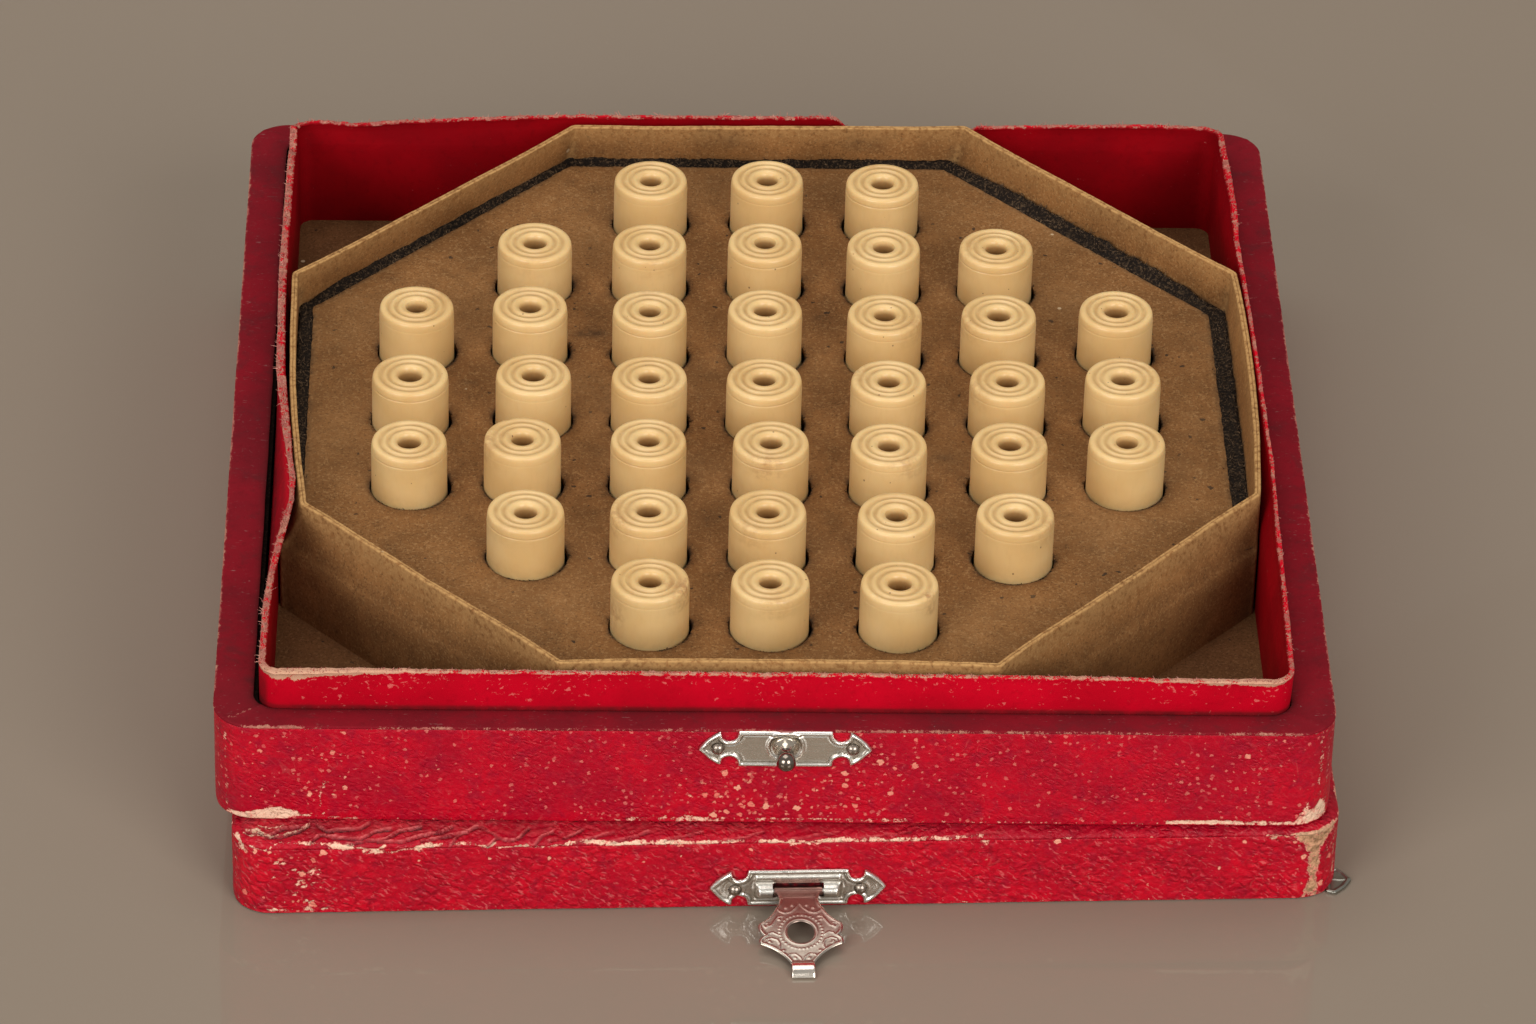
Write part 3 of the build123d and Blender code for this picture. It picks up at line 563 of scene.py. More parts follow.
def card(name, base, deep, pale, specks=0.5, fibre=0.3, edge=None, mottled=0.28, spec=0.18):
    """Old brown card. Attributes: edge (rubbed pale), and the mask of dark smudges with painted shade."""
    m = Mat(name, IOR=1.42)
    col = m.mix(m.span(m.noise(16, 4, 0.6), 0.3, 0.7), base, deep)
    col = m.mix(m.span(m.noise(3.2, 4, 0.65), 0.42, 0.75, 0, 0.55), col, tuple(0.72 * c for c in deep))
    grain = m.noise(0.42, 3, 0.7)
    col = m.mix(m.span(grain, 0.50, 0.66, 0, 0.60), col, pale)
    col = m.mix(m.span(m.noise(0.36, 2, 0.6, vec=m.mapped(shift=(0.05, 0.01, 0.02))), 0.54, 0.66, 0, 0.62), col, tuple(0.5 * c for c in deep))
    d, rnd = m.cells(2.1, vec=m.warped(0.7, 0.25))
    dots = m.span(m.maths("SUBTRACT", m.maths("MULTIPLY", m.span(m.red(rnd), 0.66, 1.0), 0.20), d), -0.01, 0.05)
    col = m.mix(m.maths("MULTIPLY", dots, specks), col, (0.035, 0.022, 0.014))
    d2, rnd2 = m.cells(3.7, vec=m.mapped(shift=(0.02, 0.06, 0)))
    dots2 = m.span(m.maths("SUBTRACT", m.maths("MULTIPLY", m.span(m.red(rnd2), 0.86, 1.0), 0.10), d2), -0.01, 0.02)
    col = m.mix(m.maths("MULTIPLY", dots2, 0.8), col, (0.62, 0.48, 0.30))
    stain_and_shade = m.maths("MULTIPLY", m.attr("stain_and_shade"), m.span(m.noise(2.2, 4), mottled, 0.62))
    col = m.mix(stain_and_shade, col, (0.030, 0.018, 0.011))
    rub = m.maths("MULTIPLY", m.attr("edge"), m.span(m.noise(0.8, 4), 0.28, 0.6))
    col = m.mix(rub, col, edge or tuple(min(1, 1.35 * c) for c in pale))
    h = m.maths("ADD", grain, m.maths("MULTIPLY", m.noise(1.4, 3), 0.8))
    m.b.inputs["Specular IOR Level"].default_value = spec
    return m.done(col, m.red(m.mix(grain, (0.66,) * 3, (0.92,) * 3)), m.bump(h, 0.09, fibre))


def red_paper(name, bright, deep, fleck_gain=0.35, rough=(0.34, 0.5), lint=0.0, bump=0.25, spec=0.25, dusty=(0.40, 0.18, 0.17)):
    """Smooth red paper. Attributes: torn (pale pulp), fleck, and the mask of painted shade with some dust."""
    m = Mat(name, IOR=1.45)
    m.b.inputs["Specular IOR Level"].default_value = spec
    col = m.mix(m.span(m.noise(14, 3), 0.34, 0.68), bright, deep)
    col = m.mix(m.span(m.noise(1.1, 4, 0.6), 0.5, 0.74, 0, 0.35), col, tuple(0.7 * c for c in deep))
    n1 = m.noise(0.75, 4, 0.62, 0.6, vec=m.mapped(scale=(0.8, 1, 1.1)))
    lim = m.maths("MULTIPLY_ADD", m.attr("fleck"), -0.36 * fleck_gain, 0.745)
    chips = m.span(m.maths("SUBTRACT", n1, lim), -0.01, 0.05)
    col = m.mix(m.maths("MULTIPLY", chips, 0.62), col, (0.72, 0.175, 0.155))
    if lint:
        thread = m.noise(0.5, 2, 0.5, 2.0, vec=m.mapped(scale=(0.3, 1, 1)))
        col = m.mix(m.maths("MULTIPLY", m.span(thread, 0.66, 0.78), lint), col, (0.42, 0.28, 0.26))
        dust = m.span(m.noise(0.3, 2), 0.66, 0.8, 0, lint)
        col = m.mix(dust, col, dusty)
        worn = m.span(m.noise(4.5, 4, 0.65, 0.5), 0.50, 0.72, 0, 0.45)
        col = m.mix(worn, col, tuple(0.45 * c + 0.012 for c in deep))
    torn = m.attr("torn")
    ragged = m.maths("ADD", m.maths("MULTIPLY", m.noise(1.2, 5, 0.7, 0.6), 0.7), m.maths("MULTIPLY", m.noise(0.25, 2), 0.3))
    power = m.span(torn, 0.0, 0.2, 0.0, 3.0)
    open_ = m.span(m.maths("ADD", torn, m.maths("MULTIPLY", m.maths("SUBTRACT", ragged, 0.5), power)), 0.50, 0.64)
    pulp = m.mix(m.span(m.noise(1.8, 3), 0.38, 0.62), (0.42, 0.178, 0.126), (0.37, 0.092, 0.080))
    pulp = m.mix(m.span(m.noise(0.45, 3), 0.50, 0.66, 0, 0.65), pulp, (0.24, 0.090, 0.062))
    pulp = m.mix(m.span(m.noise(0.7, 3, vec=m.mapped(shift=(0.09, 0, 0))), 0.56, 0.70, 0, 0.45), pulp, (0.60, 0.31, 0.215))
    pulp = m.mix(m.attr("pale"), pulp, m.mix(m.noise(0.8, 3), (0.70, 0.42, 0.28), (0.52, 0.28, 0.17)))
    col = m.mix(open_, col, pulp)
    # painted shade, with some dust on the rim, where the shade attribute marks it
    grime_and_shade = m.maths("MULTIPLY", m.attr("grime_and_shade"), m.span(m.noise(1.8, 4), -0.25, 0.65))
    col = m.mix(grime_and_shade, col, (0.03, 0.008, 0.008))
    ro = m.mix(open_, m.mix(m.noise(0.9), (rough[0],) * 3, (rough[1],) * 3), (0.9,) * 3)
    h = m.maths("ADD", m.noise(0.45, 3, 0.6), m.maths("MULTIPLY", open_, m.noise(0.25, 3, 0.7)))
    return m.done(col, m.red(ro), m.bump(h, 0.06, bump))


def bone(name):
    m = Mat(name, IOR=1.5, Subsurface_Weight=0.22, Subsurface_Radius=(1.0, 0.62, 0.34), Subsurface_Scale=0.0022)
    m.b.inputs["Coat Weight"].default_value = 0.10
    m.b.inputs["Coat Roughness"].default_value = 0.22
    warm = m.noise(9, 3, 0.5)
    col = m.mix(m.span(warm, 0.3, 0.7), (0.735, 0.505, 0.228), (0.665, 0.430, 0.176))
    grainy = m.noise(0.5, 3, 0.6, vec=m.mapped(scale=(1, 1, 0.22)))
    col = m.mix(m.span(grainy, 0.5, 0.75, 0, 0.14), col, (0.55, 0.34, 0.14))
    col = m.mix(m.maths("MULTIPLY", m.attr("groove"), 0.75), col, (0.43, 0.240, 0.078))
    # painted shade, darker deeper into the bore
    col = m.mix(m.maths("MULTIPLY", m.attr("bore"), 0.85), col, (0.27, 0.110, 0.024))
    # small pores and dirt
    d, rnd = m.cells(1.3, vec=m.mapped(scale=(1, 1, 0.8)))
    size = m.maths("MULTIPLY", m.span(m.red(rnd), 0.66, 1.0), m.maths("ADD", 0.075, m.maths("MULTIPLY", m.attr("dirt"), 0.12)))
    dots = m.span(m.maths("SUBTRACT", size, d), -0.010, 0.025)
    col = m.mix(m.maths("MULTIPLY", dots, 0.80), col, (0.16, 0.070, 0.026))
    # stains, and the painted shade at each peg's foot
    smear_and_shade = m.maths("MULTIPLY", m.attr("stain_and_shade"), m.span(m.noise(1.1, 4, 0.65), 0.36, 0.64))
    col = m.mix(m.maths("MULTIPLY", smear_and_shade, 0.75), col, (0.34, 0.150, 0.050))
    h = m.maths("SUBTRACT", m.maths("MULTIPLY", m.noise(0.6, 3), 0.5), dots)
    return m.done(col, m.red(m.mix(m.noise(1.4), (0.32,) * 3, (0.46,) * 3)), m.bump(h, 0.03, 0.35))


def metal(name, base, tarnish, rough=(0.2, 0.4), amount=0.6):
    """Pressed nickel silver. Attribute: low (hollows, where tarnish stays)."""
    m = Mat(name, Metallic=1.0)
    blot = m.noise(2.4, 4, 0.65)
    fine = m.noise(0.25, 3, 0.6)
    low = m.maths("MULTIPLY", m.attr("low"), amount)
    t = m.maths("MULTIPLY", m.span(blot, 0.44, 0.74), 0.30)
    t = m.maths("ADD", t, low, clamp=True)
    t = m.maths("MULTIPLY", t, m.span(fine, 0.2, 0.6, 0.55, 1.0), clamp=True)
    col = m.mix(t, base, tarnish)
    # painted reflection of the red leather, where the attribute marks it
    col = m.mix(m.attr("painted_red_reflection"), col, m.mix(t, (0.34, 0.175, 0.145), (0.17, 0.060, 0.050)))
    col = m.mix(m.span(m.noise(0.4, 3), 0.66, 0.78, 0, 0.7), col, tuple(0.25 * c for c in tarnish))
    scratch = m.noise(0.3, 2, 0.5, 0.4, vec=m.mapped(scale=(0.08, 1, 1)))
    ro = m.mix(t, (rough[0],) * 3, (rough[1],) * 3)
    ro = m.mix(m.span(scratch, 0.5, 0.8, 0, 0.4), ro, (0.55,) * 3)
    h = m.maths("ADD", m.maths("MULTIPLY", fine, 0.5), m.maths("MULTIPLY", scratch, 0.5))
    return m.done(col, m.red(ro), m.bump(h, 0.012, 0.35))


LEATHER_TRAY = leather("red_leather_tray", (0.52, 0.0008, 0.015), (0.385, 0.0009, 0.015), (0.285, 0.003, 0.021), 0.80, scaly=0.16, rubbed_stroke_highlights=0.08, bump=0.19, dots=0.55)
LEATHER_LID = leather("red_leather_lid", (0.57, 0.0008, 0.015), (0.42, 0.0009, 0.014), (0.30, 0.003, 0.020), 1.35, scaly=0.42, rubbed_stroke_highlights=0.44, bump=0.25)
LEATHER_TOP = leather("red_leather_top", (0.49, 0.0012, 0.016), (0.36, 0.0013, 0.014), (0.26, 0.004, 0.018), 0.9, scaly=0.35, rubbed_stroke_highlights=0.30, bump=0.20, skin=False)
RIM = red_paper("rim_paper", (0.235, 0.0055, 0.014), (0.165, 0.0065, 0.013), 0.2, (0.60, 0.76), lint=0.35, bump=0.3, spec=0.08, dusty=(0.20, 0.05, 0.05))
LINER = red_paper("red_liner", (0.55, 0.0008, 0.014), (0.45, 0.0008, 0.011), 0.56, spec=0.10)
LINING = red_paper("lining_paper", (0.50, 0.006, 0.02), (0.36, 0.005, 0.018), 0.15)
BOARD = card("board_card", (0.250, 0.112, 0.036), (0.188, 0.082, 0.026), (0.38, 0.215, 0.090), specks=0.85, fibre=0.7)
COLLAR = card("collar_card", (0.330, 0.150, 0.048), (0.240, 0.104, 0.032), (0.44, 0.245, 0.095), specks=0.25, fibre=0.35, edge=(0.50, 0.285, 0.108), mottled=-0.12)
FLOOR_CARD = card("floor_card", (0.17, 0.072, 0.026), (0.12, 0.050, 0.018), (0.24, 0.12, 0.05), specks=0.9, fibre=0.6)
BLACK = card("black_edge", (0.0135, 0.0080, 0.0048), (0.0075, 0.0046, 0.0030), (0.120, 0.075, 0.040), specks=0.1, fibre=1.0, edge=(0.115, 0.072, 0.038))
# near-black finish for the tray's wall frame, seen in the gap beside the liner: painted shadow
GAP_SHADOW = card("painted_gap_shadow", (0.0080, 0.0050, 0.0040), (0.0050, 0.0030, 0.0025), (0.020, 0.011, 0.008), specks=0.1, fibre=0.4, spec=0.0)
WOOD = card("box_wood", (0.42, 0.24, 0.10), (0.33, 0.18, 0.07), (0.52, 0.32, 0.15), specks=0.3, fibre=0.5)
BONE = bone("bone")
NICKEL = metal("nickel", (0.92, 0.89, 0.82), (0.28, 0.23, 0.17), (0.24, 0.42), amount=0.85)
TAB_METAL = metal("nickel_tab", (0.36, 0.35, 0.30), (0.12, 0.11, 0.085), (0.30, 0.50), amount=0.7)
LEAF_METAL = metal("nickel_leaf", (0.50, 0.44, 0.37), (0.20, 0.150, 0.115), (0.26, 0.40), amount=0.70)
# brighter copy of the leaf's nickel for the thumb curl: painted highlight
CURL_METAL_LIT = metal("nickel_curl_lit", (0.86, 0.78, 0.68), (0.42, 0.27, 0.21), (0.14, 0.32), amount=0.4)
KNOB_METAL = metal("nickel_knob", (0.24, 0.20, 0.165), (0.10, 0.07, 0.05), (0.12, 0.28), amount=0.6)
FOOT_METAL = metal("nickel_foot", (0.62, 0.54, 0.44), (0.22, 0.16, 0.11), (0.20, 0.40), amount=0.6)


# ------------------------------------------------------------ kept CAD pieces
def finish_node(name, mat):
    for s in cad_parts[name].material_slots:
        s.material = mat


for n in ("lid_wall_frame", "lid_top_panel", "tray_bottom_panel"):
    finish_node(n, WOOD)
# the wall frame takes the painted shadow finish
finish_node("tray_wall_frame", GAP_SHADOW)
finish_node("lid_lining", LINING)
finish_node("floor_card", FLOOR_CARD)
finish_node("peg_block", BLACK)
finish_node("hasp_pin", NICKEL)


def marks(P, items):
    """Strongest of several marks at the 2D places P: (kind, points, width, strength)."""
    out = np.zeros(len(P))
    for kind, pts, width, strength in items:
        if kind == "area":
            v = step(-width, width, poly_sd(P, pts))
        else:
            v = np.exp(-(seg_dist(P, pts) / width) ** 2)
        out = np.maximum(out, v * strength)
    return out


def sides(P2, N2):
    """Front, right, back, left parts of a loop, as masks."""
    return (N2[:, 1] < -0.72), (N2[:, 0] > 0.72), (N2[:, 1] > 0.72), (N2[:, 0] < -0.72)


# --------------------------------------------------------------- tray leather
def tray_leather():
    h = 78.0
    P2, N2 = loop(h, h, 5.7, 300, 300, 20)
    n = len(P2)
    s = around(P2)
    scaled = [72.0, 60.0, 40.0, 20.0, 8.0, 3.0, 1.2]
    rows = [("flat", d, 13.0) for d in scaled]
    for a in np.radians([0, 25, 50, 72]):
        rows.append(("in", 0.45 * (1 - math.sin(a)), 13.0 + 0.45 * (1 - math.cos(a))))
    for z in np.linspace(13.45, 28.72, 38):
        rows.append(("in", 0.0, z))
    rows += [("in", 0.03, 28.84), ("in", 0.12, 28.9), ("in", 0.70, 28.9), ("in", 0.80, 28.84),
             ("in", 0.80, 24.0), ("in", 0.80, 18.0), ("in", 0.80, 13.52), ("flat", 3.0, 13.5), ("flat", 30.0, 13.5), ("flat", 70.0, 13.5)]
    V = np.zeros((len(rows), n, 3))
    U = np.zeros((len(rows), n, 2))
    for k, (kind, d, z) in enumerate(rows):
        q = P2 * (1 - d / h) if kind == "flat" else P2 - N2 * d
        V[k, :, :2] = q
        V[k, :, 2] = z
        U[k, :, 0] = s
        U[k, :, 1] = z
    V = V.reshape(-1, 3)
    Nn = np.tile(np.column_stack([N2, np.zeros(n)]), (len(rows), 1))
    kinds = np.repeat([0 if k == "flat" else (2 if d >= 0.45 and z > 13.45 else 1) for k, d, z in rows], n)
    outer = (kinds == 1)
    # gentle waviness of the glued skin, only inwards
    w = np.zeros(len(V))
    Q = V.copy()
    w[outer] = 0.10 * (fbm(Q[outer], 17, 2, 3) - 0.5) + 0.045 * (fbm(Q[outer], 3.2, 3, 4) - 0.6)
    x, z = V[:, 0], V[:, 2]
    front = outer & (Nn[:, 1] < -0.35)
    wear = np.zeros(len(V))
    fleck = np.zeros(len(V))
    grime_and_shade = np.zeros(len(V))
    F2 = np.column_stack([V[front][:, 0], V[front][:, 2]])
    wf = marks(F2, [
        ("area", [(-76.6, 13.4), (-76.1, 13.9), (-73.9, 14.3), (-71.5, 14.9), (-69.4, 15.4), (-66.5, 14.7), (-65.9, 13.7), (-69, 13.2), (-73.5, 12.7)], 0.30, 1.15),
        ("line", [(-66.1, 13.9), (-62, 13.6), (-58.3, 13.4)], 0.32, 0.66),
        ("line", [(-62.3, 20.0), (-63.3, 17.4), (-62.7, 14.2)], 0.36, 0.60),
        ("line", [(-58.3, 13.4), (-40, 13.45), (-22, 13.4)], 0.20, 0.30),
        ("line", [(-22, 13.5), (-12, 13.9), (-3, 13.7), (6, 13.75), (14, 13.65), (21, 13.6)], 0.32, 0.74),
        ("area", [(-14, 13.2), (-12.5, 14.5), (-10.5, 14.2), (-8, 14.0), (-7, 13.2)], 0.3, 0.9),
        ("line", [(21, 13.55), (32, 13.5), (44, 13.5), (55, 13.45)], 0.22, 0.46),
        ("line", [(29, 13.55), (33, 13.6), (38, 13.55)], 0.26, 0.62),
        ("line", [(55, 13.62), (61, 13.70), (68, 13.66), (73.5, 13.62)], 0.34, 1.35),
        ("area", [(72.2, 13.3), (73.2, 14.9), (74.5, 17.0), (75.4, 15.4), (76.4, 17.0), (77.3, 15.2), (77.6, 13.3)], 0.30, 0.95),
        ("line", [(75.9, 28.6), (76.2, 24), (75.9, 20), (76.5, 15.5)], 0.34, 0.50),
        ("line", [(77.1, 28.6), (77.2, 22), (77.1, 16)], 0.35, 0.36),
        ("line", [(-76.2, 28.9), (-76.4, 24.0), (-76.1, 19), (-76.3, 14.0)], 0.30, 0.56),
        ("line", [(-77.4, 28.9), (-77.5, 22.0), (-77.4, 14.0)], 0.35, 0.34),
        ("line", [(-78, 28.95), (78, 28.95)], 0.24, 0.47),
        ("line", [(-65.2, 28.5), (-65.2, 28.45)], 0.32, 0.8),
        ("line", [(-65.4, 26.8), (-65.5, 26.7)], 0.28, 0.7),
        ("line", [(-73.5, 26.85), (-73.4, 26.8)], 0.25, 0.7),
        ("line", [(-64.3, 25.3), (-64.2, 25.3)], 0.22, 0.7),
    ])
    broken = fbm(np.column_stack([F2[:, 0], F2[:, 1] * 0.4, 0 * F2[:, 0]]), 9, 2, 12)
    wear[front] = wf * np.clip(0.95 + 0.35 * broken, 0.5, 1.2)
    dense = np.exp(-(((F2[:, 0] - 0.5) / 15.0) ** 2 + ((F2[:, 1] - 18.0) / 4.4) ** 2) ** 1.5)
    dense2 = np.exp(-((F2[:, 0] - 17) / 7.0) ** 2 - ((F2[:, 1] - 23.5) / 3.2) ** 2)
    side = 0.35 * np.exp(-((F2[:, 0] + 66) / 10.0) ** 2) + 0.10 * np.exp(-((F2[:, 0] - 70) / 9.0) ** 2)
    fleck[front] = np.clip(0.25 + 0.88 * dense + 0.36 * dense2 + 0.6 * side + 0.22 * fbm(np.column_stack([F2, 0 * F2[:, 0]]), 8, 2, 19), 0, 1)
    # the other sides: rubbed at the upright corners, the bottom edge and the top edge
    rest = outer & ~front
    R = V[rest]
    corner = np.exp(-((np.abs(np.abs(R[:, 0]) - 76.3) + np.abs(np.abs(R[:, 1]) - 76.3)) / 1.6) ** 2)
    wear[rest] = np.clip(np.maximum.reduce([
        0.50 * corner * (0.8 + 0.7 * fbm(R, 7, 2, 22)),
        0.52 * np.exp(-((R[:, 2] - 13.35) / 0.35) ** 2) * (0.75 + 0.8 * fbm(R, 11, 2, 23)),
        0.42 * np.exp(-((R[:, 2] - 28.9) / 0.25) ** 2) * (0.75 + 0.8 * fbm(R, 11, 2, 24))]), 0, 1)
    fleck[rest] = np.clip(0.32 + 0.40 * (fbm(R, 22, 2, 25) - 0.1) + 0.3 * corner, 0, 1)
    bottom = kinds == 0
    wear[bottom] = 0.25 * step(60, 76, np.maximum(np.abs(V[bottom, 0]), np.abs(V[bottom, 1])))
    fleck[bottom] = 0.2
    w = np.minimum(w, 0) - 0.10 * wear * outer
    V += Nn * w[:, None]
    total = len(rows) * n
    V = np.concatenate([V, [[0, 0, 13.0], [0, 0, 13.5]]])
    F = grid_faces(len(rows), n)
    F += [(total, (i + 1) % n, i) for i in range(n)]
    last = (len(rows) - 1) * n
    F += [(total + 1, last + i, last + (i + 1) % n) for i in range(n)]
    z2 = [0, 0]
    skin = np.column_stack([U.reshape(-1, 2), 0 * kinds, kinds == 0, V[:total, 0], V[:total, 1]])
    skin = np.concatenate([skin, [[0, 13, 0, 1, 0, 0], [0, 13.5, 0, 1, 0, 0]]])
    piece("tray_leather", tray_xyz(V[:, 0], V[:, 1], V[:, 2]), F, "tray", [LEATHER_TRAY], ["tray_leather_cover"],
          attrs={"wear": [*wear, *z2], "fleck": [*fleck, *z2], "grime_and_shade": [*grime_and_shade, *z2]}, skin=skin)


# ------------------------------------------------------------------ rim paper
def rim():
    Po, No = loop(78.0, 78.0, 5.7, 300, 300, 20)
    Pi, Ni = loop(71.9, 73.7, 3.4, 300, 300, 20)
    # on the left the paper stops short of the liner: a narrow dark gap
    Pi[:, 0] -= 0.72 * step(62, 71, -Pi[:, 0]) * (0.85 + 0.15 * fbm(np.column_stack([Pi, 0 * Pi[:, 0]]), 9, 2, 30))
    n = len(Po)
    sec = [(-1, 0.06, 28.9), (-1, 0.0, 29.0), (-1, 0.02, 29.16), (-1, 0.10, 29.26), (-1, 0.24, 29.3)]
    V, T = [], []
    for _, d, z in sec:
        V.append(np.column_stack([Po - No * d, np.full(n, z)]))
        T.append(np.zeros(n))
    for t in np.linspace(0.08, 0.97, 15):
        V.append(np.column_stack([Po * (1 - t) + Pi * t, np.full(n, 29.3)]))
        T.append(np.full(n, t))
    V.append(np.column_stack([Pi, np.full(n, 29.24)]))
    T.append(np.ones(n))
    V.append(np.column_stack([Pi, np.full(n, 28.9)]))
    T.append(np.ones(n))
    rows = len(V)
    V = np.concatenate(V)
    T = np.concatenate(T)
    top = V[:, 2] > 29.2
    x, y = V[:, 0], V[:, 1]
    z = V[:, 2].copy()
    z[top] += 0.05 * fbm(V[top], 16, 2, 31) + 0.035 * fbm(V[top], 2.4, 3, 32) - 0.03
    # folded mitres at the corners
    for sx, sy, a in ((-1, -1, 0.14), (1, -1, 0.08), (1, 1, 0.10), (-1, 1, 0.10)):
        c0, c1 = np.array((sx * 76.3, sy * 76.3)), np.array((sx * 71.2, sy * 73.2))
        d = seg_dist(V[:, :2], [c0, c1])
        z += np.where(top, a * np.exp(-(d / 0.45) ** 2), 0)
    outer_edge = np.exp(-((78.0 - np.maximum(np.abs(x), np.abs(y))) / 0.42) ** 2)
    along_s = fbm(np.column_stack([x, y, 0 * x]), 13, 3, 35)
    torn = outer_edge * (0.40 + 0.5 * along_s)
    torn += np.where(np.abs(x) > 76.5, np.exp(-((78.0 - np.abs(x)) / 0.26) ** 2) * 0.26, 0)
    # the front edge is worn at both ends and here and there between them
    frontish = (y < -76.5)
    torn += np.where(frontish, outer_edge * (0.07 + 0.18 * (hump(x, -70, 9) + hump(x, 71, 8) + hump(x, 18, 14))), 0)
    mitre = np.exp(-(seg_dist(V[:, :2], [(-77.2, -77.0), (-72.4, -73.9)]) / 0.30) ** 2) * 0.62
    torn = np.clip(np.maximum(torn, mitre * top), 0, 0.8)
    fleck = np.clip(0.25 + 0.5 * fbm(V, 20, 2, 36), 0, 1)
    # painted shade along the foot of the liner, and a dull dusty mottle over the whole top
    grime_and_shade = np.clip(0.55 * np.exp(-((1 - T) / 0.10)) + 0.15, 0, 1) * top
    z = np.minimum(z, 29.42)
    F = grid_faces(rows, n)
    F += (np.stack([np.arange(n) + (rows - 1) * n, (np.arange(n) + 1) % n + (rows - 1) * n, (np.arange(n) + 1) % n, np.arange(n)], -1)).tolist()
    piece("rim", tray_xyz(x, y, z), F, "tray", [RIM], ["rim_paper"], attrs={"torn": torn, "fleck": fleck, "grime_and_shade": grime_and_shade})


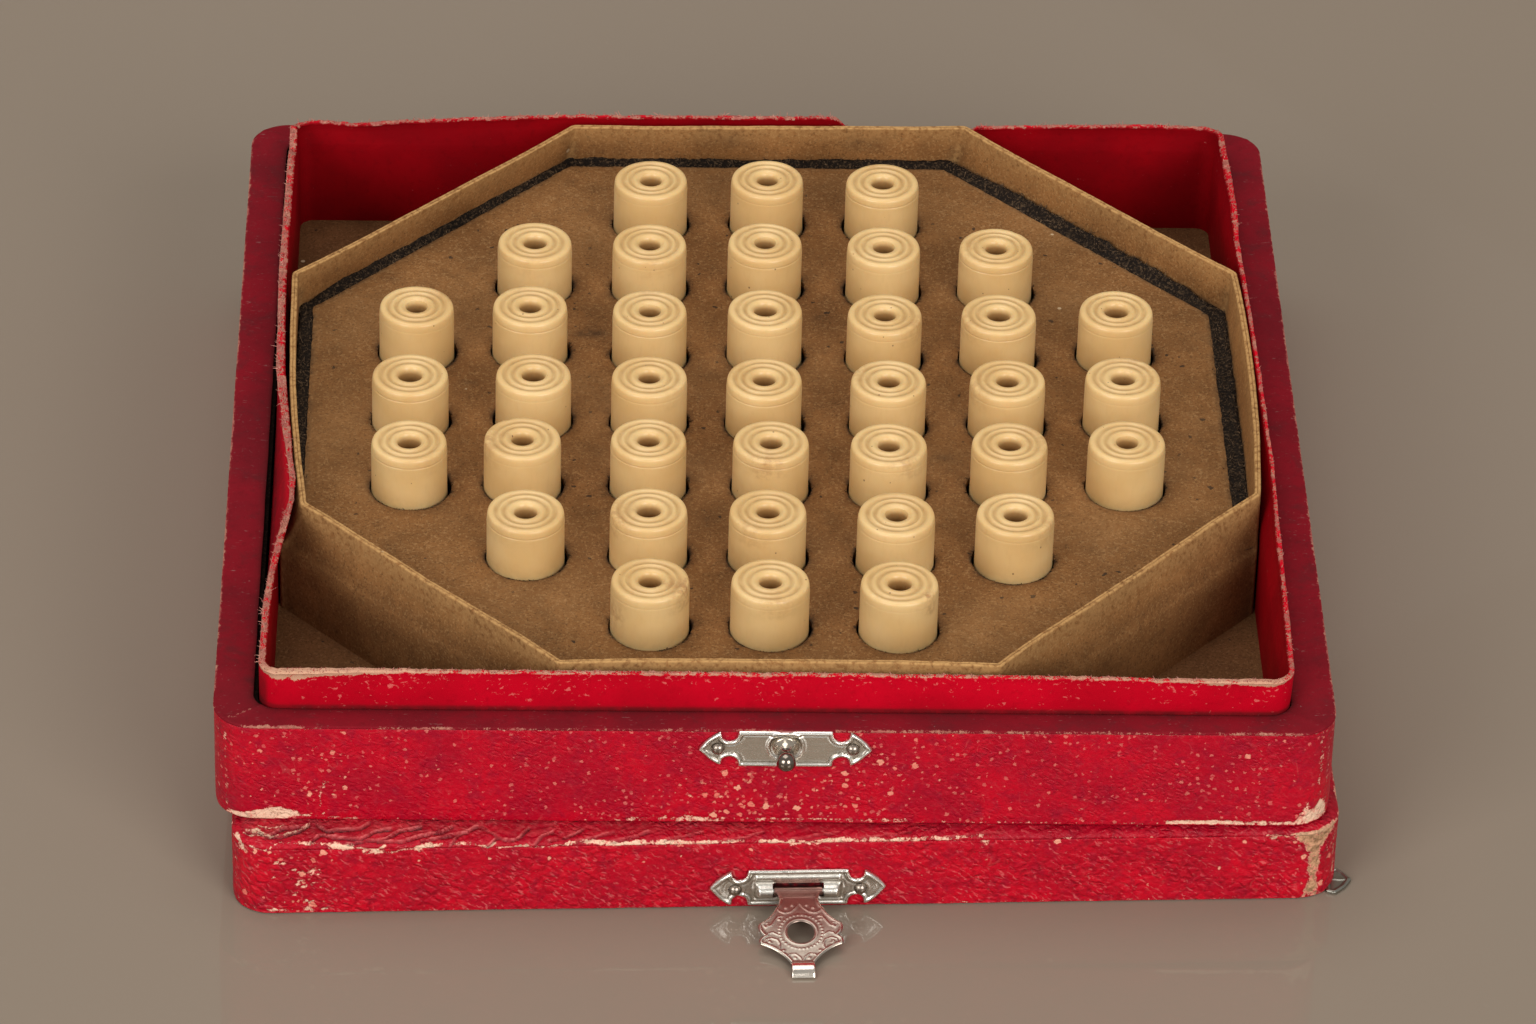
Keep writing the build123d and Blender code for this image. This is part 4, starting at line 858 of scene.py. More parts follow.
# ---------------------------------------------------------------------- liner
def liner():
    hx, hy, t = 71.7, 73.5, 1.1
    P2, N2 = loop(hx, hy, 3.2, 330, 340, 8)
    n = len(P2)
    x, y = P2.T
    fr, ri, ba, le = sides(P2, N2)
    top = np.zeros(n)
    top_front = along(x, [(-75, 35.2), (-60, 35.45), (-30, 35.35), (0, 35.15), (30, 35.05), (60, 34.85), (75, 34.75)])
    top_back = along(x, [(-75, 32.9), (-66, 33.0), (-62, 32.6), (-50, 33.6), (-30, 34.75), (-10, 34.9), (8, 35.05), (12, 34.9), (14.5, 32.2), (24, 31.8), (32, 32.1), (34, 33.4), (50, 33.9), (60, 33.9), (70, 33.5), (75, 33.6)])
    top_left = along(y, [(-75, 35.2), (-60, 35.2), (-40, 34.9), (-30, 34.7), (-10, 34.6), (20, 34.4), (50, 33.8), (68, 33.2), (75, 32.9)])
    top_right = along(y, [(-75, 34.75), (-50, 34.8), (-20, 34.7), (10, 34.6), (45, 34.4), (75, 33.6)])
    wf = np.clip(-N2[:, 1], 0, 1) ** 2
    wb = np.clip(N2[:, 1], 0, 1) ** 2
    wl = np.clip(-N2[:, 0], 0, 1) ** 2
    wr = np.clip(N2[:, 0], 0, 1) ** 2
    top = wf * top_front + wb * top_back + wl * top_left + wr * top_right
    s = around(P2)
    S = np.column_stack([s, 0 * s, 0 * s])
    rag = 0.20 * fbm(S, 5.0, 2, 41) + 0.16 * fbm(S, 1.5, 2, 42) + 0.10 * fbm(S, 0.7, 1, 43)
    # worn low places and one torn spike at the left rear corner
    top = top + rag
    top += np.where(le, 0.9 * np.exp(-((y - 70.0) / 1.1) ** 2) - 1.1 * np.exp(-((y - 66.0) / 2.4) ** 2), 0)
    top = np.minimum(top, 35.58)
    # how far the wall leans in at the top
    lean = (wl * along(y, [(-75, 0.0), (-62, 0.2), (-55, 0.4), (-49, 0.8), (-42, 1.7), (-36, 2.64), (-31, 3.5), (-26, 3.56), (-20, 2.87), (-15, 2.14), (-9.6, 1.44), (-3, 0.7), (2, 0.23), (8, 0.05), (15, -0.2), (20, -0.3), (28, -0.5), (50, -0.3), (75, -0.1)])
            + wr * along(y, [(-75, -0.2), (-50, -0.7), (-31, -1.0), (-20, -1.35), (-5, -1.25), (6, -1.15), (17, -1.0), (28, -0.7), (39, -0.45), (50, -0.9), (60, -0.6), (75, -0.2)])
            + wf * along(x, [(-75, 0.0), (-40, 0.35), (0, 0.6), (40, 0.45), (75, -0.1)])
            + wb * along(x, [(-75, 0.1), (-40, 0.5), (0, 0.9), (20, 0.6), (50, 0.9), (75, 0.1)]))
    lean = lean + 0.10 * fbm(S, 18, 2, 44)
    # the torn edge is split thick on the left and pressed thin on the right
    thick = (wl * along(y, [(-75, 0.9), (-50, 0.8), (-36, 0.75), (-30, 0.6), (-22, 0.6), (-16, 0.8), (-8, 1.0), (0, 1.0), (10, 0.95), (30, 0.85), (60, 0.8), (75, 0.9)])
             + wr * along(y, [(-75, 0.8), (-40, 0.6), (-30, 0.5), (0, 0.52), (20, 0.5), (30, 0.65), (50, 0.9), (75, 1.0)])
             + wf * along(x, [(-75, 0.95), (-56, 0.9), (-44, 0.62), (50, 0.58), (62, 0.8), (75, 0.9)]) + wb * 0.72)
    z0 = 15.3
    # the card is swollen and split along its torn edge
    swell = np.clip(0.20 + 0.3 * fbm(S, 9, 2, 45) + 0.40 * wf * np.exp(-((x + 68) / 7) ** 2) + 0.15 * wf * np.exp(-((x - 66) / 7) ** 2) + 0.15 * wl * step(-10, 5, y) - 0.12 * wr, 0.03, 0.7)
    out_rows = [15.3, 20, 25, 28, 29.2]
    k_up = np.linspace(0, 1, 18)[1:]
    V, kind = [], []

    def put(inset, z, k):
        f = np.clip((z - 27.5) / (top.max() - 27.5), 0, None)
        li = lean * f ** 1.15
        V.append(np.column_stack([P2 - N2 * (inset + li)[:, None], z]))
        kind.append(np.full(n, k))

    zero = np.zeros(n)
    for z in out_rows:
        put(zero, zero + z, 0)
    for k in k_up:
        z = 29.2 + (top - 0.16 - 29.2) * k
        flare = -swell * 0.55 * np.clip((k - 0.86) / 0.14, 0, 1) ** 2
        put(flare, z, 0)
    rg = 0.14 * fbm(np.column_stack([s, 0 * s + 3, 0 * s]), 0.9, 2, 46)
    rg2 = 0.14 * fbm(np.column_stack([s, 0 * s + 9, 0 * s]), 1.1, 2, 40)
    put(-swell * 0.50 + thick * 0.15 + rg2 * 0.4, top - 0.02 + rg * 0.5, 1)
    put(-swell * 0.10 + thick * 0.37 + rg2 * 0.6, top + 0.02 - np.abs(rg) * 0.8, 1)
    put(thick * 0.57 + rg2 * 0.6, top - 0.08 + rg2 * 0.7, 1)
    put(swell * 0.10 + thick * 0.79 + rg2 * 0.5, top - 0.02 - np.abs(rg) * 0.4, 1)
    for k in k_up[::-1]:
        z = 29.2 + (top - 0.20 - 29.2) * k
        flare = swell * 0.40 * np.clip((k - 0.86) / 0.14, 0, 1) ** 2
        put(t + (thick - t) * np.clip(k / 0.7, 0, 1) + flare, z, 2)
    for z in out_rows[::-1]:
        put(zero + t, zero + z, 2)
    rows = len(V)
    V = np.concatenate(V)
    kind = np.concatenate(kind)
    Nn = np.tile(N2, (rows, 1))
    S2 = np.tile(s, rows)
    depth = np.tile(top, rows) - V[:, 2]
    frontc = np.tile(wf, rows)
    # small dents of the outer face
    w = 0.05 * fbm(V, 6, 3, 47) + 0.03 * fbm(V, 1.6, 2, 48)
    upper = V[:, 2] > 29.3
    V[:, :2] += Nn * (w * upper)[:, None]
    X = V[:, 0]
    Sa = np.column_stack([S2, 0 * S2, 0 * S2])
    # how deep the red face is torn away under the edge: deep at the front's left end
    wft, wlt, wrt = np.tile(wf, rows), np.tile(wl, rows), np.tile(wr, rows)
    torn_depth = (wft * along(X, [(-73, 1.5), (-66, 1.35), (-60, 0.85), (-52, 0.42), (-40, 0.24), (-20, 0.22), (0, 0.20), (30, 0.17), (50, 0.22), (60, 0.5), (70, 0.85), (73, 0.9)])
                  + wlt * 0.42 + wrt * 0.16 + (1 - np.clip(wft + wlt + wrt, 0, 1)) * 0.3)
    torn_depth = np.clip(torn_depth * (1 + 0.75 * fbm(Sa, 2.6, 3, 49)), 0.06, 2)
    torn = 0.95 * np.exp(-(depth / torn_depth) ** 4)
    front_edge = along(X, [(-73, 1.0), (-54, 0.95), (-46, 0.72), (-25, 0.56), (0, 0.62), (25, 0.54), (50, 0.60), (62, 0.86), (73, 0.95)]) + 0.42 * fbm(Sa, 2.6, 2, 57)
    on_edge = wft * front_edge + wlt * (0.68 + 0.45 * fbm(Sa, 3, 2, 51)) + wrt * (0.56 + 0.55 * fbm(Sa, 3.0, 2, 52)) + (1 - np.clip(wft + wlt + wrt, 0, 1)) * (0.62 + 0.5 * fbm(Sa, 3.4, 2, 56))
    torn = np.where(kind == 1, np.clip(on_edge, 0, 1), torn)
    torn = np.where(kind == 2, 0.65 * np.exp(-(depth / 0.28) ** 2), torn)
    isf = (frontc > 0.5) & (kind == 0)
    pale = 0.9 * wft * along(X, [(-75, 1.0), (-52, 0.85), (-40, 0.45), (50, 0.45), (66, 0.8), (75, 0.9)])
    fleck = np.clip(0.36 + 0.4 * fbm(V, 12, 2, 50) + np.where(isf, 0.50 * np.exp(-(depth / 2.2)), 0), 0, 1)
    # painted shade on the outer face just above the rim, deeper down the left face, and a little over the inner face
    grime_and_shade = np.where(kind == 0, np.clip(0.8 * np.exp(-((V[:, 2] - 29.3) / 0.40) ** 2) + 0.12 * np.exp(-((V[:, 2] - 29.3) / 2.2) ** 2), 0, 0.8), 0.0)
    grime_and_shade = np.where((kind == 0) & (wlt > 0.5), np.clip(grime_and_shade + 0.50 * step(0.6, 2.5, depth), 0, 0.8), grime_and_shade)
    grime_and_shade = np.where(kind == 2, 0.12, grime_and_shade)
    # the inner faces take the darker copy of the liner paper: painted shade
    index_row = np.repeat([1 if r >= len(out_rows) + len(k_up) + 3 else 0 for r in range(rows)], n)
    F = grid_faces(rows, n)
    F += (np.stack([np.arange(n) + (rows - 1) * n, (np.arange(n) + 1) % n + (rows - 1) * n, (np.arange(n) + 1) % n, np.arange(n)], -1)).tolist()
    index = [index_row[f[0]] for f in F]
    piece("liner_card", tray_xyz(V[:, 0], V[:, 1], V[:, 2]), F, "tray", [LINER, LINER_IN_SHADED], ["liner"], index=index,
          attrs={"torn": torn, "fleck": fleck, "grime_and_shade": grime_and_shade, "pale": pale}, sharp=60, recalc=False)
    # loose fibres along the torn edge
    r = np.random.RandomState(7)
    m = 6000
    idx = r.randint(0, n, m)
    keep = r.uniform(size=m) < (0.35 + 0.65 * wf[idx] + 0.40 * wl[idx] - 0.15 * wr[idx])
    idx = idx[keep]
    m = len(idx)
    edge_row = len(out_rows) + len(k_up)
    base_a = V.reshape(rows, n, 3)[edge_row, idx]
    base_b = V.reshape(rows, n, 3)[edge_row + 3, idx]
    u = r.uniform(size=(m, 1)) ** 1.4
    base = base_a * (1 - u) + base_b * u
    nn = np.column_stack([N2[idx], np.zeros(m)])
    tt = np.column_stack([-N2[idx][:, 1], N2[idx][:, 0], np.zeros(m)])
    d = nn * r.normal(0.45, 0.6, (m, 1)) * (1 - 1.3 * u) + tt * r.normal(0, 0.8, (m, 1)) + np.array([[0, 0, 1.0]]) * r.uniform(0.1, 0.9, (m, 1))
    d /= np.linalg.norm(d, axis=1)[:, None]
    L = r.gamma(2.2, 0.17, m)[:, None]
    L = np.minimum(L, 0.95)
    room = 35.98 - base[:, 2:3]
    d[:, 2:3] = np.minimum(d[:, 2:3], room / L * 0.9)
    wdt = r.uniform(0.03, 0.085, (m, 1))
    L *= ((1 - 0.5 * wr[idx]) * (1 - 0.5 * wf[idx]))[:, None]
    strands("liner_fibres", base - d * 0.15, d, L + 0.15, wdt, r, "tray", PULP, ceiling=36.0)


def strands(name, base, d, L, width, r, body, mat, bend=0.35, ceiling=99.0):
    """Short tapered fibres."""
    m = len(base)
    a = np.cross(d, np.array([[0.31, 0.52, 0.8]]))
    a /= np.linalg.norm(a, axis=1)[:, None]
    b = np.cross(d, a)
    sway = (a * r.normal(0, 1, (m, 1)) + b * r.normal(0, 1, (m, 1))) * bend
    V = []
    for t, wd in ((0, 1.0), (0.4, 0.9), (0.75, 0.6)):
        c = base + d * L * t + sway * L * t * t
        for k in range(3):
            ang = 2 * pi * k / 3
            V.append(c + (a * math.cos(ang) + b * math.sin(ang)) * width * wd)
    V.append(base + d * L + sway * L)
    V = np.stack(V, 1).reshape(-1, 3)
    # strands that would reach too high are laid over, not cut off
    over = V[:, 2] > ceiling
    V[over, 2] = ceiling - 0.04 * (V[over, 2] - ceiling)
    F = []
    one = []
    for ring in (0, 3):
        for k in range(3):
            k2 = (k + 1) % 3
            one.append((ring + k, ring + k2, ring + 3 + k2, ring + 3 + k))
    for k in range(3):
        one.append((6 + k, 6 + (k + 1) % 3, 9))
    one.append((2, 1, 0))
    for i in range(m):
        o = i * 10
        F += [tuple(o + q for q in f) for f in one]
    piece(name, tray_xyz(V[:, 0], V[:, 1], V[:, 2]), F, body, [mat], (), recalc=False)


# --------------------------------------------------------------------- collar
OCT_BASE = [(30.2, -72.1), (70.3, -30.2), (70.3, 30.2), (30.2, 72.1), (-30.2, 72.1), (-70.3, 30.2), (-70.3, -30.2), (-30.2, -72.1)]
OCT_TOP = [(31.0, -70.9), (70.4, -27.4), (71.1, 30.8), (32.2, 71.4), (-28.4, 70.6), (-70.2, 28.5), (-67.0, -32.0), (-30.3, -70.9)]


def octagon(pts, cell, r):
    """Points along a closed outline with corners rounded by r, each side with the same number of points on any outline."""
    pts = np.asarray(pts, float)
    out, nor, fold = [], [], []
    m = len(pts)
    for k in range(m):
        a, b, c = pts[k], pts[(k + 1) % m], pts[(k + 2) % m]
        d1, d2 = b - a, c - b
        l1 = np.linalg.norm(d1)
        d1, d2 = d1 / l1, d2 / np.linalg.norm(d2)
        steps = cell[k]
        for i in range(steps):
            q = a + d1 * (r + (l1 - 2 * r) * i / (steps - 1))
            out.append(q)
            nor.append((d1[1], -d1[0]))
            fold.append(min(i, steps - 1 - i) / (steps - 1) * (l1 - 2 * r))
        for i in range(1, 5):
            u = i / 5
            p = (1 - u) ** 2 * (b - d1 * r) + 2 * u * (1 - u) * b + u * u * (b + d2 * r)
            out.append(p)
            nn = np.array((d1[1], -d1[0])) * (1 - u) + np.array((d2[1], -d2[0])) * u
            nor.append(nn / np.linalg.norm(nn))
            fold.append(0.0)
    return np.array(out), np.array(nor), np.array(fold)


def collar():
    base = np.array(OCT_BASE)
    lens = np.linalg.norm(np.roll(base, -1, 0) - base, axis=1)
    cells = [int(L / 0.55) for L in lens]
    B, NB, fold = octagon(OCT_BASE, cells, 0.55)
    T, NT, _ = octagon(OCT_TOP, cells, 0.55)
    n = len(B)
    s = around(B)
    S = np.column_stack([s, 0 * s, 0 * s])
    z0 = 15.3
    x, y = B.T
    top = along(s, [(-230, 34.5), (-190, 34.3), (-120, 34.35), (-92, 34.7), (-60, 34.5), (-32, 35.3), (-15, 35.55), (15, 35.5), (32, 35.3), (60, 34.5), (92, 34.5), (120, 34.4), (150, 34.5), (190, 34.4), (230, 34.5)])
    top = top + 0.10 * fbm(S, 9, 2, 61) + 0.05 * fbm(S, 1.8, 2, 62)
    # each side bows a little between its folds
    bow = 0.3 * np.sin(np.clip(fold / 12, 0, 1) * pi / 2)
    # the left and right sides bulge outwards
    part = np.clip((30.2 - y) / 60.4, 0, 1)
    bow = np.where(x < -70.0, -0.95 * np.sin(pi * part), bow)
    bow = np.where(x > 70.0, -1.15 * np.sin(pi * part) ** 0.8, bow)
    V, kind = [], []

    def put(inset, z, k, lift=0.0):
        f = (np.clip((z - 26.4) / (35.0 - 26.4), 0, 1.05) ** 0.6)[:, None]
        P = B * (1 - f) + T * f
        N = NB * (1 - f) + NT * f
        P = P - N * (inset + bow * f[:, 0])[:, None]
        V.append(np.column_stack([P, z]))
        kind.append(np.full(n, k))

    zero = np.zeros(n)
    up = np.concatenate([np.linspace(0, 0.57, 5), np.linspace(0.585, 0.985, 20)])
    for u in up:
        put(zero, z0 + (top - z0) * u, 0)
    split = 0.05 * fbm(np.column_stack([s, 0 * s + 9, 0 * s]), 1.2, 2, 63)
    put(zero + 0.03, top - 0.10, 1)
    put(zero + 0.16, top + split * 0.4, 1)
    put(zero + 0.36, top - 0.01 + split * 0.5, 1)
    put(zero + 0.46, top - 0.13, 3)
    put(zero + 0.56, top - 0.02 - split * 0.5, 1)
    put(zero + 0.76, top - 0.03 + split * 0.4, 1)
    put(zero + 0.88, top - 0.12, 1)
    for u in up[::-1]:
        put(zero + 0.9, z0 + (top - z0) * u, 2)
    rows = len(V)
    V = np.concatenate(V)
    kind = np.concatenate(kind)
    Nn = np.tile(NB, (rows, 1))
    w = 0.09 * fbm(V, 15, 2, 64) + 0.03 * fbm(V, 2.2, 2, 65)
    foldv = np.tile(fold, rows)
    V[:, :2] += Nn * (w * np.clip((V[:, 2] - 27) / 3, 0, 1))[:, None]
    depth = np.tile(top, rows) - V[:, 2]
    edge = np.where((kind == 1), 0.85, 0.75 * np.exp(-(depth / 0.35) ** 2))
    # rubbed golden along the top of both faces
    edge = np.maximum(edge, np.where(kind == 0, 0.55 * np.exp(-(depth / 3.4) ** 2), 0.42 * np.exp(-(depth / 2.6) ** 2)))
    edge = np.maximum(edge, 0.7 * np.exp(-(foldv / 0.6) ** 2) * (0.6 + 0.5 * fbm(V, 4, 2, 66)))
    edge = np.where(kind == 3, 0.45, edge)
    sv = np.tile(s, rows)
    X, Y, Z = V.T
    back = (Y > 60) & (kind == 2)
    smudge_and_shade = np.zeros(len(V))
    smudge_and_shade += back * 0.62 * np.exp(-((X + 6) / 6.5) ** 2) * step(28, 33, Z) * (0.6 + 0.7 * fbm(V, 4, 3, 67))
    smudge_and_shade += back * 0.55 * np.exp(-((X - 16) / 5) ** 2) * step(28, 32, Z) * (0.6 + 0.7 * fbm(V, 4, 3, 70))
    smudge_and_shade += back * 0.35 * np.exp(-((X + 22) / 4) ** 2) * (0.5 + 0.6 * fbm(V, 5, 3, 68))
    # painted shade low on the inner face, where it meets the board
    smudge_and_shade = np.maximum(smudge_and_shade, np.where(kind == 2, 0.85 * np.exp(-(np.clip(Z - 27.2, 0, None) / 1.2) ** 2) * (0.8 + 0.4 * fbm(V, 3, 2, 59)), 0))
    smudge_and_shade = np.maximum(smudge_and_shade, 0.12 + 0.30 * fbm(V, 13, 3, 69))
    # painted shade into the inner folds, low down the outer face, near its folds and in the split top edge
    smudge_and_shade = np.maximum(smudge_and_shade, np.where(kind == 2, 0.45 * np.exp(-(foldv / 1.8) ** 2) * step(33.5, 30, Z), 0))
    smudge_and_shade = np.maximum(smudge_and_shade, np.where(kind == 0, 0.30 * step(3.0, 7.0, depth) + 0.15 * step(5, 2, foldv), 0))
    smudge_and_shade = np.maximum(smudge_and_shade, np.where(kind == 3, 0.35, 0))
    F = grid_faces(rows, n)
    F += (np.stack([np.arange(n) + (rows - 1) * n, (np.arange(n) + 1) % n + (rows - 1) * n, (np.arange(n) + 1) % n, np.arange(n)], -1)).tolist()
    piece("collar_card", tray_xyz(X, Y, Z), F, "tray", [COLLAR], ["collar"],
          attrs={"edge": np.clip(edge, 0, 1), "stain_and_shade": np.clip(smudge_and_shade, 0, 1)}, sharp=50, recalc=False)


# ------------------------------------------------------------- pegs and board
PITCH = 17.4
PEG_OFF = {
    "c1": (0.0, 0.5), "d1": (-0.5, 0.5), "e1": (0.3, 0.3),
    "b2": (-0.2, -0.2), "c2": (-0.1, 0.3), "d2": (-0.5, 0.3), "e2": (0.4, -0.4), "f2": (0.0, -0.2),
    "a3": (0.3, -0.3), "b3": (-0.8, 0.4), "c3": (0.0, 0.4), "d3": (0.3, 0.2), "e3": (-0.1, -0.3),
    "f3": (0.0, 0.4), "g3": (-0.4, 0.9),
    "a4": (0.1, -0.7), "b4": (0.7, -0.4), "c4": (0.2, -0.7), "d4": (-0.4, -0.9), "e4": (0.4, -1.1),
    "f4": (0.4, -0.9), "g4": (0.0, 0.1),
    "a5": (0.7, -0.1), "b5": (0.1, 0.4), "c5": (0.4, -0.6), "d5": (0.1, -0.1), "e5": (0.4, -1.1),
    "f5": (-0.1, -0.8), "g5": (0.0, 0.5),
    "b6": (0.7, 0.4), "c6": (0.5, 0.2), "d6": (0.4, 0.7), "e6": (0.8, -0.1), "f6": (0.3, -0.1),
    "c7": (0.8, 0.6), "d7": (1.1, 0.9), "e7": (1.2, 0.4),
}
HOLE_OFF = {
    "c1": (0.15, -0.05), "d1": (0.25, 0.0), "e1": (0.0, 0.05),
    "b2": (0.25, 0.05), "c2": (0.1, 0.0), "d2": (0.2, -0.1), "e2": (-0.2, 0.1), "f2": (-0.2, 0.05),
    "a3": (0.3, -0.05), "b3": (0.3, -0.1), "c3": (0.05, 0.1), "d3": (0.15, 0.0), "e3": (0.1, 0.1),
    "f3": (-0.25, -0.05), "g3": (0.05, -0.1),
    "a4": (0.3, 0.0), "b4": (-0.1, 0.1), "c4": (0.1, 0.1), "d4": (0.3, 0.05), "e4": (0.2, 0.15),
    "f4": (0.15, 0.1), "g4": (0.2, -0.05),
    "a5": (0.2, 0.0), "b5": (0.25, -0.1), "c5": (0.1, 0.1), "d5": (0.25, 0.0), "e5": (0.1, 0.2),
    "f5": (0.2, 0.1), "g5": (0.1, -0.1),
    "b6": (-0.15, -0.05), "c6": (0.1, 0.0), "d6": (0.2, -0.15), "e6": (0.05, 0.1), "f6": (0.25, 0.0),
    "c7": (0.1, -0.1), "d7": (0.05, -0.2), "e7": (-0.2, -0.05),
}


def peg_at(name):
    col, row = "abcdefg".index(name[0]) - 3, int(name[1]) - 4
    return np.array((col * PITCH + PEG_OFF[name][0], row * PITCH + PEG_OFF[name][1]))


HOLES = np.array([peg_at(k) + 0.6 * np.array(HOLE_OFF[k]) for k in PEG_OFF])
OCT = np.array([(30.2, 72.1), (70.3, 30.2), (70.3, -30.2), (30.2, -72.1), (-30.2, -72.1), (-70.3, -30.2), (-70.3, 30.2), (-30.2, 72.1)])


def hole_dist(P):
    best = np.full(len(P), 1e9)
    for h in HOLES:
        best = np.minimum(best, np.hypot(*(P - h).T))
    return best


def board():
    hole = 5.93

    def sd(P):
        Q = np.column_stack([P, 0 * P[:, 0]])
        edge = poly_sd(P, OCT) - 3.3 - 0.10 * fbm(Q, 5, 2, 71) - 0.22 * (fbm(Q, 1.5, 3, 68) - 0.5) + 0.05
        return np.minimum(edge, hole_dist(P) - hole - 0.05 * fbm(Q, 1.2, 2, 70))

    def top(P):
        Q = np.column_stack([P, 0 * P[:, 0]])
        hd = hole_dist(P) - hole
        ed = poly_sd(P, OCT) - 3.3
        z = 28.0 - 0.13 * np.exp(-(np.clip(hd, 0, None) / 0.30) ** 2) - 0.12 * np.exp(-(np.clip(ed, 0, None) / 0.35) ** 2)
        z += 0.03 * np.exp(-((hd - 0.9) / 0.45) ** 2)
        z += 0.05 * fbm(Q, 11, 3, 72) + 0.03 * fbm(Q, 1.4, 2, 73) - 0.05
        dents = fbm(Q, 2.4, 2, 74)
        return z - 0.10 * step(0.42, 0.75, dents)

    V, F, P2, is_top = cut_plate((-67.5, -69.5), (67.5, 69.5), 0.57, sd, top, lambda P: np.full(len(P), 27.0), 3)
    hd = hole_dist(P2) - hole
    ed = poly_sd(P2, OCT) - 3.3
    n3 = np.column_stack([P2, V[:, 2]])
    edge = 0.18 * np.exp(-((ed - 0.3) / 0.4) ** 2) + 0.35 * np.clip(fbm(n3, 17, 3, 75) + 0.05, 0, 1)
    low = V[:, 2] < 27.8
    edge = np.where(low, 0.0, np.clip(edge, 0, 1))
    # painted shade close round each hole and along the board's edge, with real stains and mottling
    stain_and_shade = 0.75 * np.exp(-((hd - 0.0) / 0.24) ** 2) + 0.22 * np.exp(-((hd - 0.1) / 1.1) ** 2) + 0.24 * np.clip(fbm(n3, 12, 3, 76) + 0.15, 0, 1) + 0.5 * np.exp(-(ed / 0.35) ** 2)
    for sx, sy, rx, ry, a in ((-25.7, 22.3, 2.6, 1.1, 0.75), (8.9, 27.0, 1.4, 1.0, 0.4), (-43.6, 9.0, 1.3, 0.9, 0.4), (26.0, -9.5, 2.0, 0.8, 0.4), (-8.5, -26.0, 1.1, 1.4, 0.35), (51.0, 26.5, 1.6, 0.8, 0.35)):
        stain_and_shade += a * np.exp(-((P2[:, 0] - sx) / rx) ** 2 - ((P2[:, 1] - sy) / ry) ** 2)
    # painted shade: the hole walls and the cut edge under the top are made near black
    stain_and_shade = np.where(low, 1.0, np.clip(stain_and_shade, 0, 1))
    piece("board_face", tray_xyz(V[:, 0], V[:, 1], V[:, 2]), F, "tray", [BOARD], ["peg_board"], attrs={"edge": edge, "stain_and_shade": stain_and_shade}, sharp=45, recalc=False)

    # worn black cloth edge of the block, round the board
    def inner_limit(P):
        return 1.12 - 0.62 * step(66, 68.5, P[:, 0])

    def sd_band(P):
        e = poly_sd(P, OCT)
        return np.minimum(e - inner_limit(P), 3.6 - e)

    def top_band(P):
        Q = np.column_stack([P, 0 * P[:, 0]])
        e = poly_sd(P, OCT)
        t = np.clip((e - inner_limit(P)) / 2.1, 0, 1)
        roll = 1.75 * np.exp(-((e - inner_limit(P) - 0.10) / 0.95) ** 2) * (1 - 0.75 * step(63, 68, np.abs(P[:, 0]))) * step(-24, -14, P[:, 1]) * (1 - 0.42 * step(58, 69, P[:, 1]))
        z = 27.25 + 0.50 * np.sqrt(np.clip(t, 0, 1)) + roll * (1 + 0.5 * fbm(Q, 4, 2, 57)) + 0.10 * fbm(Q, 3, 2, 77) + 0.30 * fbm(Q, 0.9, 2, 78)
        return np.where(e > 3.15, np.minimum(z, 27.6), z)

    V, F, P2, is_top = cut_plate((-70, -71.6), (70, 71.6), 0.42, sd_band, top_band, lambda P: np.full(len(P), 27.0), 1)
    n3 = np.column_stack([P2, V[:, 2]])
    piece("board_edge_cloth", tray_xyz(V[:, 0], V[:, 1], V[:, 2]), F, "tray", [BLACK], (),
          attrs={"edge": np.clip(0.02 + 0.9 * (fbm(n3, 1.5, 3, 79) - 0.30), 0, 0.6), "stain_and_shade": np.zeros(len(V))}, sharp=60, recalc=False)
    # short fuzz standing on the cloth
    r = np.random.RandomState(11)
    tp = np.where(is_top)[0]
    idx = tp[r.randint(0, len(tp), 7000)]
    base = np.column_stack([V[idx, 0] + r.uniform(-0.2, 0.2, len(idx)), V[idx, 1] + r.uniform(-0.2, 0.2, len(idx)), V[idx, 2] - 0.05])
    d = np.column_stack([r.normal(0, 0.8, len(idx)), r.normal(0, 0.8, len(idx)), r.uniform(0.15, 0.8, len(idx))])
    d /= np.linalg.norm(d, axis=1)[:, None]
    strands("edge_fuzz", base, d, np.minimum(r.gamma(2.2, 0.20, (len(idx), 1)), 1.05), r.uniform(0.035, 0.085, (len(idx), 1)), r, "tray", FUZZ)
    # black fuzz at the edges of the holes
    m = 62
    centre = np.repeat(HOLES, m, 0)
    a = r.uniform(0, 2 * pi, len(centre))
    a = np.where(r.uniform(size=len(a)) < 0.45, r.normal(-0.7, 0.75, len(a)), a)
    u = np.column_stack([np.cos(a), np.sin(a)])
    base = np.column_stack([centre + u * (hole + 0.03), np.full(len(a), 27.86)])
    d = np.column_stack([u * r.uniform(0.1, 1.0, (len(a), 1)) + np.column_stack([-u[:, 1], u[:, 0]]) * r.normal(0, 0.7, (len(a), 1)), r.uniform(0.12, 0.5, len(a))])
    d /= np.linalg.norm(d, axis=1)[:, None]
    strands("hole_fuzz", base, d, np.minimum(r.gamma(2.0, 0.13, (len(a), 1)), 0.6), r.uniform(0.03, 0.065, (len(a), 1)), r, "tray", FUZZ_DARK)


# per peg: dirt, (stain angle in degrees, stain spread, strength)
PEG_NOTES = {
    "c1": (0.30, (-20, 30, 0.8)), "b3": (0.15, (180, 40, 0.5)), "d3": (0.2, (-100, 25, 0.6)), "f3": (0.35, (20, 60, 0.35)),
    "c2": (0.30, (190, 40, 0.5)), "d1": (0.30, (-80, 30, 0.3)), "g4": (0.30, (60, 60, 0.4)), "e4": (0.30, (150, 40, 0.35)),
    "a5": (0.25, (45, 40, 0.4)), "e3": (0.2, (-60, 30, 0.35)), "e1": (0.20, (-40, 12, 0.7)), "d2": (0.2, (-120, 30, 0.3)),
}


